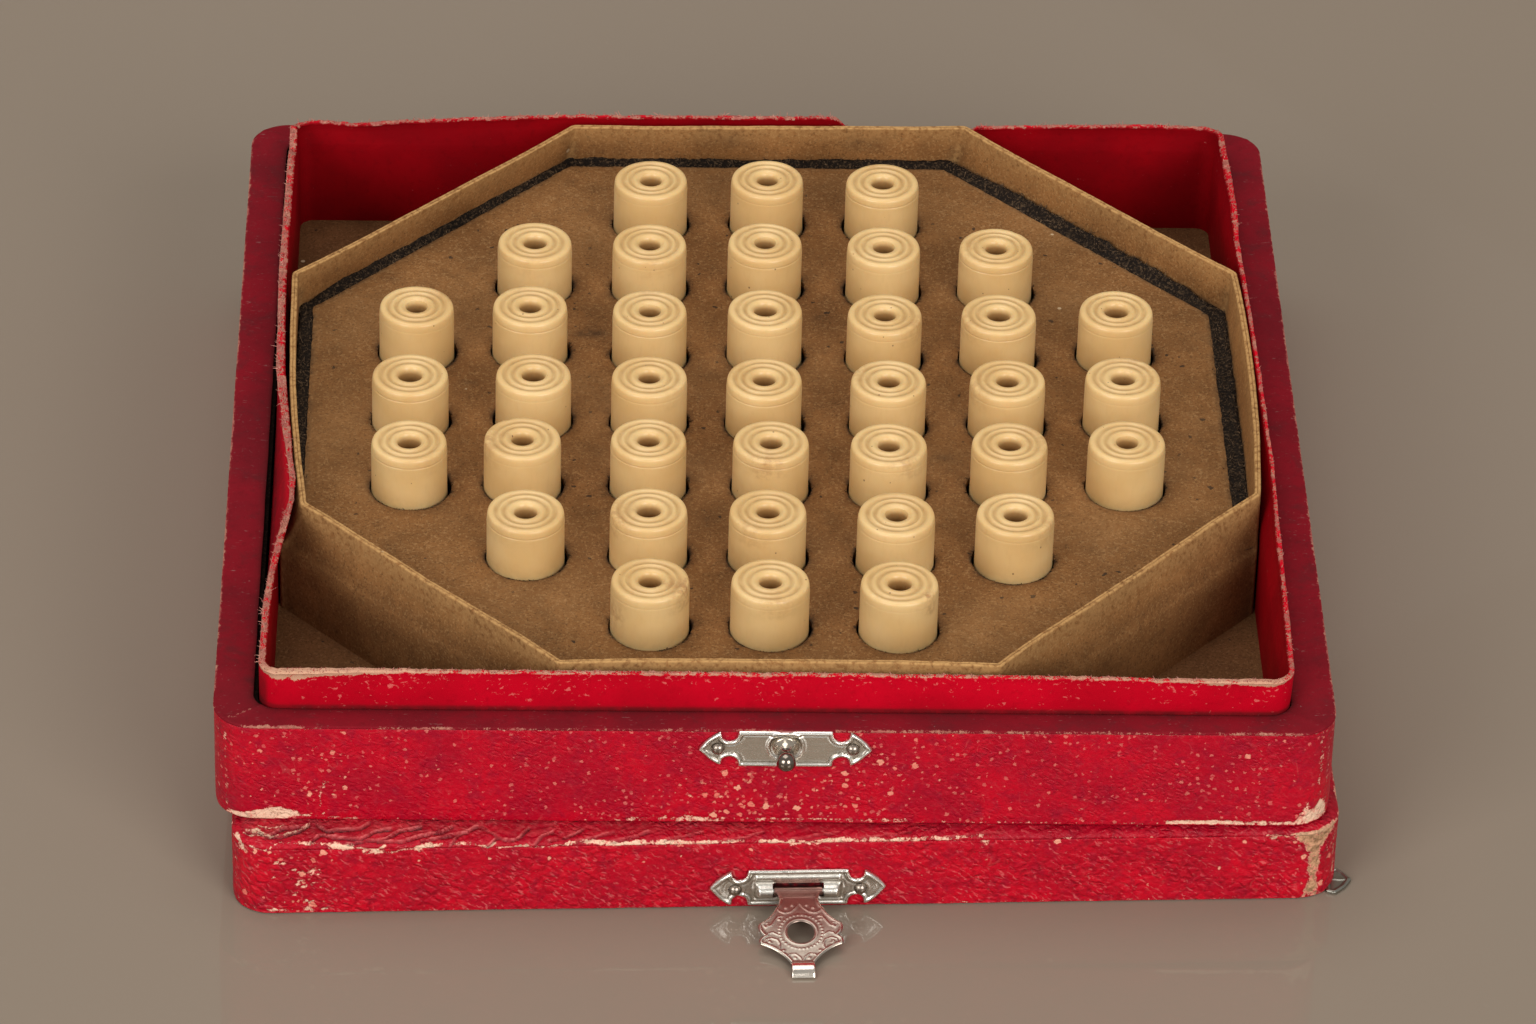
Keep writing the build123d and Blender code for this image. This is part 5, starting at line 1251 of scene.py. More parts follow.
def pegs():
    r = np.random.RandomState(5)
    seg = 72
    ang = np.arange(seg) / seg * 2 * pi
    for i, name in enumerate(PEG_OFF):
        g1, g2 = 4.17 + r.uniform(-0.08, 0.08), 3.06 + r.uniform(-0.07, 0.07)
        gd1, gd2 = r.uniform(0.11, 0.17), r.uniform(0.11, 0.17)
        H = 16.3 - r.uniform(0.0, 0.18)
        R = 5.65 - r.uniform(0.0, 0.07)
        bev = r.uniform(-0.08, 0.08)
        bore = 1.60 + r.uniform(-0.10, 0.10)
        prof = [(0, 0), (2.5, 0), (R - 0.5, 0), (R - 0.15, 0.15), (R, 0.5)]
        prof += [(R, z) for z in (3.0, 6.0, 8.0)] + [(R - 0.02, z) for z in np.linspace(8.8, H - 2.0, 9)]
        # a barely cut line under the rounded rim
        cut = r.uniform(0.015, 0.05)
        prof += [(R - 0.01, H - 1.62), (R - 0.02, H - 1.48), (R - 0.03 - cut, H - 1.40), (R - 0.04, H - 1.30), (R - 0.05, H - 1.05),
                 (R - 0.08, H - 0.72), (R - 0.13, H - 0.45), (R - 0.21, H - 0.25), (R - 0.34 + bev * 0.5, H - 0.12), (R - 0.52 + bev * 0.5, H - 0.05),
                 (4.84, H - 0.02), (g1 + 0.46, H - 0.04), (g1 + 0.30, H - 0.04 - gd1 * 0.45), (g1 + 0.12, H - 0.04 - gd1), (g1 - 0.12, H - 0.04 - gd1), (g1 - 0.30, H - 0.04 - gd1 * 0.45), (g1 - 0.44, H - 0.03),
                 ((g1 + g2) / 2, H - 0.01), (g2 + 0.44, H - 0.03), (g2 + 0.29, H - 0.04 - gd2 * 0.45), (g2 + 0.11, H - 0.04 - gd2), (g2 - 0.11, H - 0.04 - gd2), (g2 - 0.28, H - 0.04 - gd2 * 0.45),
                 (2.62, H - 0.03), (2.42, H - 0.0), (2.22, H - 0.02), (2.02, H - 0.10), (bore + 0.16, H - 0.27), (bore + 0.04, H - 0.60),
                 (bore - 0.02, H - 1.2), (bore - 0.04, H - 2.5), (bore - 0.05, H - 4.5), (bore - 0.06, H - 7.6), (0.8, H - 8.2), (0, H - 8.5)]
        V, F = lathe(prof, seg)
        inner = np.array(prof[1:-1])
        rr = np.concatenate([np.repeat(inner[:, 0], seg), [0, 0]])
        zz = np.concatenate([np.repeat(inner[:, 1], seg), [0, 0]])
        aa = np.concatenate([np.tile(ang, len(inner)), [0, 0]])
        on_top = zz > H - 0.6
        x0, y0 = peg_at(name)
        W = V + np.array((x0, y0, 19.8))
        # hand turned: not quite round, softened rim
        wob = 0.030 * np.sin(2 * aa + r.uniform(0, 6)) + 0.02 * np.sin(3 * aa + r.uniform(0, 6))
        outer = (rr > 4.6) & (zz > 7.0)
        k = 1 + np.where(outer, (wob - 0.05) / 5.65, 0)
        W[:, 0] = x0 + V[:, 0] * k
        W[:, 1] = y0 + V[:, 1] * k
        note = PEG_NOTES.get(name, (r.uniform(0.0, 0.22), (r.uniform(-180, 180), 35, r.uniform(0.1, 0.35))))
        dirt, (sa, sw, ss) = note
        chip = fbm(W, 1.3, 2, 200 + i)
        rimz = np.exp(-((rr - (R - 0.35)) / 0.35) ** 2) * np.exp(-((zz - (H - 0.3)) / 0.6) ** 2)
        W[:, 2] -= rimz * 0.16 * step(0.35, 0.7, chip)
        groove = np.exp(-((rr - g1) / 0.34) ** 2) * on_top + np.exp(-((rr - g2) / 0.32) ** 2) * on_top
        groove = groove * (0.72 + 0.6 * fbm(W, 2.0, 2, 300 + i)) + 0.22 * np.exp(-((zz - (H - 1.40)) / 0.07) ** 2) * (rr > 5)
        # mask for the painted shade deeper into the bore
        bore_a = ((rr < bore + 0.3) & (zz > 1)) * step(H - 0.25, H - 1.6, zz)
        da = np.degrees(np.abs((aa - math.radians(sa) + pi) % (2 * pi) - pi))
        stain_and_shade = ss * np.exp(-(da / sw) ** 2) * (np.exp(-((rr - (R - 0.3)) / 0.9) ** 2) * (zz > H - 3.0) + 0.6 * on_top)
        # painted shade round each peg's foot, where it goes into the board
        foot = 0.55 * np.exp(-((zz - 8.2) / 0.9) ** 2) * (rr > 5)
        stain_and_shade = stain_and_shade + foot * 0.35
        if name == "c1":
            left = np.degrees(np.abs((aa - math.radians(205) + pi) % (2 * pi) - pi))
            stain_and_shade = np.maximum(stain_and_shade, 0.9 * np.exp(-(left / 20) ** 2) * np.exp(-((zz - (H - 4.2)) / 2.0) ** 2) * (rr > 5))
        stain_and_shade = np.clip(stain_and_shade, 0, 1)
        dd = np.clip(1.25 * dirt + 0.08 + 0.30 * fbm(W, 4, 2, 400 + i) + 0.2 * foot, 0, 1)
        piece("bone_" + name, tray_xyz(W[:, 0], W[:, 1], W[:, 2]), F, "peg_" + name, [BONE], ["peg_" + name],
              attrs={"groove": np.clip(groove, 0, 1), "bore": bore_a, "stain_and_shade": stain_and_shade, "dirt": dd}, sharp=42, recalc=False)


# ---------------------------------------------------------------- lid leather
WORN_LINE = [(-78.5, 11.6), (-76.3, 11.7), (-72.9, 11.15), (-71.05, 12.7), (-64, 12.2), (-61, 11.9), (-57.7, 10.9), (-55.1, 10.5), (-50.3, 11.7), (-44.7, 12.1),
             (-41, 11.3), (-33.5, 11.2), (-28.7, 12.25), (-23.8, 11.5), (-20.3, 11.9), (-13.5, 11.6), (-5.4, 11.9), (2.7, 11.3), (7.5, 11.9), (14.2, 11.6),
             (21, 11.85), (26.4, 12.2), (32, 11.7), (45, 11.5), (60, 11.4), (70, 11.4), (76, 11.7), (78.5, 11.6)]
WORN_WIDTH = [(-78, 0.35), (-70, 0.34), (-64, 0.34), (-52, 0.34), (-48, 0.34), (-36, 0.28), (-27, 0.50), (-15, 0.52), (-8, 0.40), (-4, 0.46), (10, 0.50), (20, 0.46), (28, 0.26), (40, 0.18), (60, 0.16), (72, 0.40), (78, 0.40)]
WORN_POWER = [(-78, 0.55), (-70, 0.66), (-64, 0.62), (-52, 0.64), (-47, 0.56), (-38, 0.50), (-30, 0.75), (-26, 0.92), (-14, 0.90), (-9, 0.66), (-4, 0.86), (18, 0.84), (26, 0.62), (34, 0.36), (48, 0.26), (64, 0.26), (70, 0.70), (78, 0.66)]


def worn_edge(x, za):
    """Rubbed-through line along the lid's front top edge, at a height seen on the front."""
    x = np.asarray(x, float)
    q = np.column_stack([x, 0 * x, 0 * x])
    line = along(x, WORN_LINE) + 0.22 * fbm(q, 2.6, 3, 81)
    wd = along(x, WORN_WIDTH) * (1 + 0.95 * fbm(q, 2.2, 3, 82))
    thin = np.clip(along(x, WORN_POWER) * (1 + 0.45 * fbm(q, 3.5, 2, 83)), 0, 1) * np.exp(-((za - line) / np.clip(wd, 0.12, 2)) ** 4)
    return np.maximum(thin, marks(np.column_stack([x, za + 0.15 * fbm(q, 1.3, 2, 80)]), BLOBS))


BLOBS = [
    ("line", [(-63.8, 11.95), (-61.0, 11.65)], 0.62, 1.1),
    ("line", [(-59.1, 10.75), (-56.8, 10.7)], 0.36, 1.0),
    ("line", [(-57.3, 11.0), (-56.2, 11.9)], 0.26, 0.8),
    ("line", [(-51.8, 11.3), (-50.1, 11.9)], 0.58, 1.1),
    ("line", [(-42.6, 11.0), (-40.9, 12.1)], 0.30, 0.95),
    ("line", [(-40.2, 11.1), (-36.4, 11.6)], 0.32, 0.85),
    ("area", [(-77.0, 12.5), (-76.3, 12.3), (-75.7, 10.2), (-76.6, 9.8)], 0.22, 1.0),
]


def lid_leather():
    h = 77.75
    P2, N2 = loop(h, h, 5.7, 300, 300, 20)
    n = len(P2)
    rows = [(0.10, 0.16), (0.04, 0.22)] + [(0.02, z) for z in np.linspace(0.36, 10.95, 30)] + [(0.04, 11.08), (0.10, 11.18), (0.7, 11.2), (0.8, 11.15), (0.8, 8.0), (0.8, 4.0), (0.8, 0.2), (0.7, 0.15)]
    V = np.concatenate([np.column_stack([P2 - N2 * d, np.full(n, z)]) for d, z in rows])
    Nn = np.tile(np.column_stack([N2, np.zeros(n)]), (len(rows), 1))
    outer = np.repeat([d < 0.3 for d, z in rows], n)
    x, z = V[:, 0], V[:, 2]
    w = np.where(outer, 0.09 * (fbm(V, 15, 2, 84) - 0.6) + 0.05 * (fbm(V, 3.0, 3, 85) - 0.6), 0)
    # long slanting creases of the grain
    sl = np.column_stack([(x * 0.80 - z * 0.60) / 3.0, V[:, 1] / 3.0, (x * 0.60 + z * 0.80) / 0.9])
    w += np.where(outer, 0.07 * (fbm(sl, 1.0, 2, 86) - 0.6), 0)
    wear = np.zeros(len(V))
    fleck = np.zeros(len(V))
    grime_and_shade = np.zeros(len(V))
    front = outer & (Nn[:, 1] < -0.35)
    F2 = np.column_stack([x[front], z[front]])
    q3 = np.column_stack([F2, 0 * F2[:, 0]])
    wf = np.maximum(worn_edge(F2[:, 0], F2[:, 1]), marks(F2, [
        ("area", [(70.4, 12.4), (70.8, 11.0), (72.3, 9.6), (73.0, 7.9), (74.9, 7.9), (75.6, 9.4), (76.8, 10.4), (77.6, 12.4)], 0.35, 1.05),
        ("area", [(73.1, 8.0), (74.9, 8.0), (75.1, 6.2), (74.5, 4.2), (75.0, 2.2), (74.8, 0.2), (72.5, 0.2), (72.9, 1.9), (73.4, 3.6), (73.0, 5.6)], 0.35, 0.95),
        ("line", [(75.9, 9.0), (76.2, 6.0), (76.0, 3.0)], 0.26, 0.42),
        ("line", [(77.0, 10.8), (77.3, 6.0), (77.2, 0.6)], 0.40, 0.50),
        ("line", [(27.2, 11.0), (27.7, 11.0)], 0.45, 0.95),
        ("line", [(22.9, 11.2), (23.3, 11.2)], 0.26, 0.7),
        ("line", [(67.6, 10.9), (68.3, 10.95)], 0.36, 0.8),
        ("line", [(-76, 0.7), (-70, 0.55), (-63, 0.6)], 0.30, 0.50),
        ("line", [(-63, 0.4), (-20, 0.4)], 0.2, 0.30),
        *[("line", [(a, b), (a + 0.45, b + 0.12)], s, 0.86) for a, b, s in (
            (-71.6, 8.9, 0.30), (-70.5, 8.8, 0.30), (-72.0, 6.3, 0.30), (-72.7, 7.5, 0.25), (-69.1, 7.6, 0.30), (-68.5, 7.1, 0.30), (-66.7, 7.4, 0.33), (-65.8, 7.6, 0.27), (-66.5, 6.8, 0.33),
            (-65.5, 7.0, 0.27), (-68.1, 5.7, 0.30), (-68.5, 5.1, 0.33), (-67.6, 4.8, 0.33), (-66.4, 5.3, 0.28), (-65.5, 5.4, 0.27), (-69.0, 3.3, 0.35), (-67.4, 2.3, 0.38), (-66.7, 2.0, 0.30),
            (-70.7, 0.8, 0.30), (-72.0, 0.7, 0.30), (-67.4, 0.8, 0.36), (-64.9, 0.7, 0.30), (-63.6, 1.6, 0.22), (-64.0, 4.2, 0.22), (-69.6, 5.9, 0.22), (-70.4, 2.2, 0.22))],
        ("line", [(-77.0, 11.0), (-77.2, 6.0), (-77.0, 1.0)], 0.34, 0.38),
        ("line", [(20, 0.4), (77, 0.4)], 0.2, 0.34),
    ]))
    wear[front] = wf
    # painted shadow on the leather seen through the hasp plate's window
    grime_and_shade[front] = step(4.1, 3.4, np.abs(F2[:, 0] - 1.45)) * step(0.9, 1.5, F2[:, 1]) * step(5.3, 4.7, F2[:, 1])
    fleck[front] = np.clip(0.26 + 0.50 * np.exp(-((F2[:, 0] + 69) / 6.5) ** 2) + 0.30 * np.exp(-((F2[:, 0] - 72) / 7) ** 2) + 0.25 * np.exp(-((11.5 - F2[:, 1]) / 1.6)) * 0.8 + 0.2 * fbm(q3, 9, 2, 87), 0, 1)
    rest = outer & ~front
    R = V[rest]
    corner = np.exp(-((np.abs(np.abs(R[:, 0]) - 76.1) + np.abs(np.abs(R[:, 1]) - 76.1)) / 1.7) ** 2)
    wear[rest] = np.clip(np.maximum.reduce([
        0.52 * corner * (0.8 + 0.7 * fbm(R, 6, 2, 88)),
        0.62 * np.exp(-((R[:, 2] - 11.1) / 0.42) ** 2) * (0.8 + 0.8 * fbm(R, 9, 2, 89)),
        0.45 * np.exp(-((R[:, 2] - 0.3) / 0.3) ** 2) * (0.75 + 0.8 * fbm(R, 9, 2, 90))]), 0, 1)
    fleck[rest] = np.clip(0.30 + 0.35 * (fbm(R, 20, 2, 91) - 0.1) + 0.3 * corner, 0, 1)
    w = np.minimum(w, 0) - 0.16 * np.clip(wear, 0, 1) * outer
    bare = step(66, 70, x) * outer
    V += Nn * w[:, None]
    F = grid_faces(len(rows), n)
    last = (len(rows) - 1) * n
    F += (np.stack([np.arange(n) + last, (np.arange(n) + 1) % n + last, (np.arange(n) + 1) % n, np.arange(n)], -1)).tolist()
    s = around(P2)
    skin = np.column_stack([np.tile(s, len(rows)), np.repeat([q[1] for q in rows], n), 0 * z, 0 * z, x, V[:, 1]])
    piece("lid_leather", lid_xyz(V[:, 0], V[:, 1], V[:, 2]), F, "lid", [LEATHER_LID], ["lid_leather_cover"],
          attrs={"wear": wear, "fleck": fleck, "grime_and_shade": grime_and_shade, "bare": bare}, recalc=False, skin=skin)


# -------------------------------------------------------- padded top of the lid
# creases that run slantwise in front of the tray: strength, and points (across, height seen on the front)
CREASES = [
    (1.0, [(-75.5, 13.7), (-74.0, 14.6), (-72.2, 14.0), (-70.7, 14.0), (-68.2, 14.9), (-66.7, 15.85)]),
    (0.8, [(-73.1, 13.7), (-71.6, 14.6), (-70.3, 15.3), (-68.2, 15.5)]),
    (0.9, [(-65.8, 15.8), (-64.3, 14.85), (-62.1, 15.0), (-59.7, 15.15), (-58.5, 15.9)]),
    (1.0, [(-66.6, 13.0), (-65.2, 14.1), (-62.1, 13.7), (-59.7, 13.4), (-57.3, 14.7), (-55.4, 15.1)]),
    (1.0, [(-61.5, 12.5), (-59.1, 13.0), (-56.1, 13.4), (-54.2, 14.7), (-51.2, 15.2)]),
    (0.9, [(-57.3, 12.8), (-53.6, 12.9), (-51.2, 13.85), (-48.4, 14.4), (-46.9, 15.3)]),
    (0.9, [(-51.2, 12.9), (-49.3, 13.2), (-47.5, 13.8), (-45.4, 14.3), (-43.2, 15.2)]),
    (0.8, [(-47.2, 11.9), (-46.3, 13.6), (-45.1, 14.3), (-43.5, 15.2)]),
    (1.0, [(-42.3, 11.4), (-40.8, 13.1), (-39.0, 12.7), (-37.7, 13.2), (-36.2, 14.9)]),
    (0.7, [(-42.9, 15.2), (-41.4, 14.1), (-40.2, 13.1)]),
    (0.9, [(-35.6, 11.7), (-34.4, 13.5), (-32.8, 14.3)]),
    (0.8, [(-33.5, 12.6), (-31.0, 13.2), (-28.8, 14.4)]),
    (0.7, [(-29.5, 12.3), (-27.5, 13.0), (-24.5, 14.0)]),
    (0.7, [(-24.8, 12.2), (-22.0, 12.9), (-19.5, 13.9)]),
    (0.6, [(-17.5, 12.4), (-14.5, 13.0), (-12.0, 13.7)]),
    (0.6, [(-9.0, 12.2), (-6.0, 12.7), (-3.5, 13.6)]),
    (0.5, [(0.5, 12.2), (4.0, 12.8), (7.0, 13.4)]),
    (0.5, [(10.0, 12.3), (14.0, 12.8), (17.0, 13.2)]),
    (0.5, [(22.0, 12.2), (26.0, 12.7), (30.0, 13.0)]),
]


def lid_pad():
    h = 77.75
    P2, N2 = loop(h, h, 5.6, 640, 300, 20)
    n = len(P2)
    s = around(P2)
    # inset, height: a rolled shoulder, then nearly flat under the tray
    prof = [(0.75, 11.21), (0.32, 11.22), (0.20, 11.30), (0.14, 11.45), (0.16, 11.62), (0.26, 11.80), (0.42, 11.97), (0.62, 12.12), (0.86, 12.25), (1.12, 12.37), (1.28, 12.43)]
    prof += [(d, float(np.interp(d, [1.28, 1.7, 2.3, 2.9, 3.6, 4.5, 5.7], [12.43, 12.56, 12.69, 12.78, 12.86, 12.92, 12.95]))) for d in np.linspace(1.46, 5.7, 21)]
    V, ins = [], []
    for d, z in prof:
        V.append(np.column_stack([P2 - N2 * d, np.full(n, z)]))
        ins.append(np.full(n, d))
    for f in (0.90, 0.82, 0.70, 0.5, 0.25):
        V.append(np.column_stack([P2 * f, np.full(n, 12.96)]))
        ins.append(np.full(n, h * (1 - f)))
    rows = len(V)
    V = np.concatenate(V)
    ins = np.concatenate(ins)
    sv = np.tile(s, rows)
    x, y = V[:, 0], V[:, 1]
    # folds run slantwise across the shoulder
    band = np.exp(-((ins - 1.7) / 1.7) ** 2)
    q = np.column_stack([(sv + 0.9 * ins) / 2.6, ins / 2.2, 0 * ins])
    fold = fbm(q, 1.0, 3, 92)
    # sharp creases run up to the right, one above the other
    ca, sa = math.cos(math.radians(24)), math.sin(math.radians(24))
    height = V[:, 2] * 0.8 + ins * 0.6
    q2 = np.column_stack([(sv * ca + height * sa) / 5.5, (-sv * sa + height * ca) / 0.95, 0 * ins + 4])
    q2[:, 1] += 0.35 * fbm(np.column_stack([sv, 0 * sv, 0 * sv]), 4.0, 2, 91)
    crease = ridge(q2, 1.0, 1, 93) ** 2.2
    near = np.exp(-((ins - 1.35) / 1.05) ** 2)
    z = V[:, 2] - band * 0.16 * (0.6 - fold) + near * np.where(y < -70, 0.22, 0.55) * (crease - 0.50)
    seen = np.column_stack([x, V[:, 2] + 0.70 * ins + 0.20 * fbm(np.column_stack([x, ins, 0 * x]), 1.3, 3, 55)])
    first = y < -70
    up_line, valley_and_shadow_line, crest_highlight = np.zeros(len(V)), np.zeros(len(V)), np.zeros(len(V))
    # each crease: a ridge with a painted highlight along its crest, and below it a valley that also gets a painted
    # shadow
    for power, pts in CREASES:
        far = seg_dist(seen[first], pts)
        up_line[first] = np.maximum(up_line[first], power * np.exp(-(far / 0.14) ** 2))
        crest_highlight[first] = np.maximum(crest_highlight[first], power * np.exp(-(far / 0.10) ** 2))
        valley_and_shadow_line[first] = np.maximum(valley_and_shadow_line[first], power * np.exp(-(seg_dist(seen[first], np.array(pts) - (-0.08, 0.29)) / 0.18) ** 2))
    z -= np.where(first, 0.20 * np.exp(-((ins - 2.9) / 1.9) ** 2), 0)
    # finer wrinkles between the long ones, thinning out to the right
    fine = ridge(np.column_stack([(x + 1.5 * seen[:, 1]) / 2.6, (seen[:, 1] - 0.42 * x) / 0.85, 0 * x + 9]), 1.0, 1, 63) ** 3
    fine = np.where(first, fine * along(x, [(-76, 1.0), (-30, 0.9), (0, 0.55), (30, 0.2), (50, 0.0)]) * step(1.2, 2.0, ins), 0)
    z += 0.13 * up_line - 0.30 * valley_and_shadow_line + 0.12 * (fine - 0.3 * (fine > 0))
    z += 0.03 * fbm(V, 1.1, 2, 94) * np.exp(-(ins / 4.0) ** 2)
    za = z + 0.70 * ins
    front = y < -70
    wear = np.zeros(len(V))
    wear[front] = worn_edge(x[front], za[front]) * np.exp(-np.clip(ins[front] - 1.0, 0, None) / 0.3)
    qs = np.column_stack([x, y, 0 * x])
    other = 0.75 * np.exp(-((ins - 0.18) / 0.35) ** 2) * np.clip(0.80 + 0.9 * fbm(qs, 10, 3, 95), 0, 1.2)
    # torn at the front left end, and pale along some crests
    wear[front] = np.maximum(wear[front], marks(seen[front], [
        ("line", CREASES[0][1], 0.24, 0.86), ("line", [(-73.8, 15.2), (-72.3, 15.3), (-70.5, 15.5)], 0.30, 0.66), ("line", [(-75.8, 13.2), (-74.6, 13.6), (-73.6, 14.0)], 0.22, 0.7)]))
    wear = np.where(front, wear, np.clip(other, 0, 1))
    wear += np.where(front, marks(np.column_stack([x, za]), [("area", [(70.0, 10.9), (71.0, 11.8), (76.5, 12.4), (77.5, 10.6)], 0.3, 0.8)]), 0)
    z = z + 0.10 * fbm(np.column_stack([x, y, z]), 0.8, 2, 96) * np.clip(wear, 0, 1)
    zmax = np.where(ins > 0.6, 12.97, 12.7)
    z = np.minimum(z, zmax)
    fleck = np.clip(0.18 + 0.4 * fbm(qs, 5, 2, 97) * np.exp(-(ins / 4) ** 2), 0, 1)
    # painted shade: under the tray's edge (on the front fading out right of the middle), in the crease hollows on the
    # other sides, and in the valley under each crease
    grime_and_shade = np.clip(0.50 * np.exp(-((ins - 3.2) / 1.6) ** 2) * (0.35 + 0.5 * fbm(qs, 4, 2, 98)) * np.where(first, step(38, 5, x), 1) + np.where(first, 0, 0.55) * band * step(0.35, 0.05, crease) + 0.72 * valley_and_shadow_line, 0, 0.85)
    base = len(V)
    V = np.column_stack([x, y, z])
    V = np.concatenate([V, [[0, 0, 12.96], [0, 0, 11.21]]])
    F = grid_faces(rows, n)
    last = (rows - 1) * n
    F += [(base, last + i, last + (i + 1) % n) for i in range(n)]
    F += [(base + 1, (i + 1) % n, i) for i in range(n)]
    z2 = [0, 0]
    # crest holds the painted highlight along the crease crests and fine wrinkles
    ob = piece("lid_pad_leather", lid_xyz(V[:, 0], V[:, 1], V[:, 2]), F, "lid", [LEATHER_TOP], ["lid_top_leather", "lid_padding"],
               attrs={"wear": [*np.clip(wear, 0, 1), *z2], "fleck": [*fleck, *z2], "grime_and_shade": [*grime_and_shade, *z2], "crest": [*np.clip(0.85 * crest_highlight + 0.22 * fine, 0, 1), *z2], "bare": [*(0.8 * step(66, 70, x)), *z2]}, sharp=70, recalc=False)


# --------------------------------------------------------------------- metal
class Parts:
    """Several bodies put together in one piece."""

    def __init__(self):
        self.V, self.F, self.I, self.A = [], [], [], []
        self.n = 0

    def add(self, V, F, index=0, low=None):
        V = np.asarray(V, float)
        self.V.append(V)
        self.F += [tuple(int(i) + self.n for i in f) for f in F]
        self.I += [index] * len(F)
        self.A.append(np.zeros(len(V)) if low is None else np.asarray(low, float))
        self.n += len(V)

    def make(self, name, body, mats, replaces, sharp=35.0):
        return piece(name, np.concatenate(self.V), self.F, body, mats, replaces, index=self.I, attrs={"low": np.concatenate(self.A)}, sharp=sharp, recalc=False)


def tray_front_xyz(u, v, out):
    return tray_xyz(u, -78.0 - np.asarray(out, float), v)


def lid_front_xyz(u, v, out):
    return lid_xyz(u, -77.75 - np.asarray(out, float), v)


def mirrored4(right_top):
    """Outline from its right upper quarter, given from the top middle to the right tip."""
    q = list(right_top)
    lower = [(a, -b) for a, b in reversed(q)]
    right = q + lower[1:]
    left = [(-a, b) for a, b in reversed(right)]
    return right + left[1:-1]


def plate_outline(y0, x1, notch, arm, ear, tip):
    q = [(0, y0), (x1, y0), (x1 + 0.2, notch[0])] + arc_pts((x1 + 0.2, notch[0]), notch[1], notch[2], 10)[1:]
    q += [ear] + arc_pts(ear, tip[0], tip[1], 12)[1:]
    return q


def dome(r, h, at, frame_of, seg=28):
    """A nail head: at = (u, v, out)."""
    prof = [(0, -0.1), (r * 0.9, -0.1), (r, 0.0)]
    big = (r * r + h * h) / (2 * h)
    a_end = math.asin(min(1, r / big)) if h <= r else pi / 2
    for k in range(1, 9):
        a = a_end * (1 - k / 9)
        prof.append((big * math.sin(a), h - big * (1 - math.cos(a))))
    prof.append((0, h))
    V, F = lathe(prof, seg)
    return frame_of(at[0] + V[:, 0], at[1] + V[:, 1], at[2] + V[:, 2]), F, V


def border(sd, flat=0.30, bead=0.50, edge=0.14):
    """Section of pressed sheet from its cut edge: a raised bead, a channel, then the field."""
    return np.interp(sd, [0, 0.10, 0.22, 0.36, 0.52, 0.66, 0.82, 1.0, 3], [edge, 0.78 * bead, 0.97 * bead, bead, 0.84 * bead, flat * 0.92, flat * 0.97, flat + 0.03, flat + 0.03])


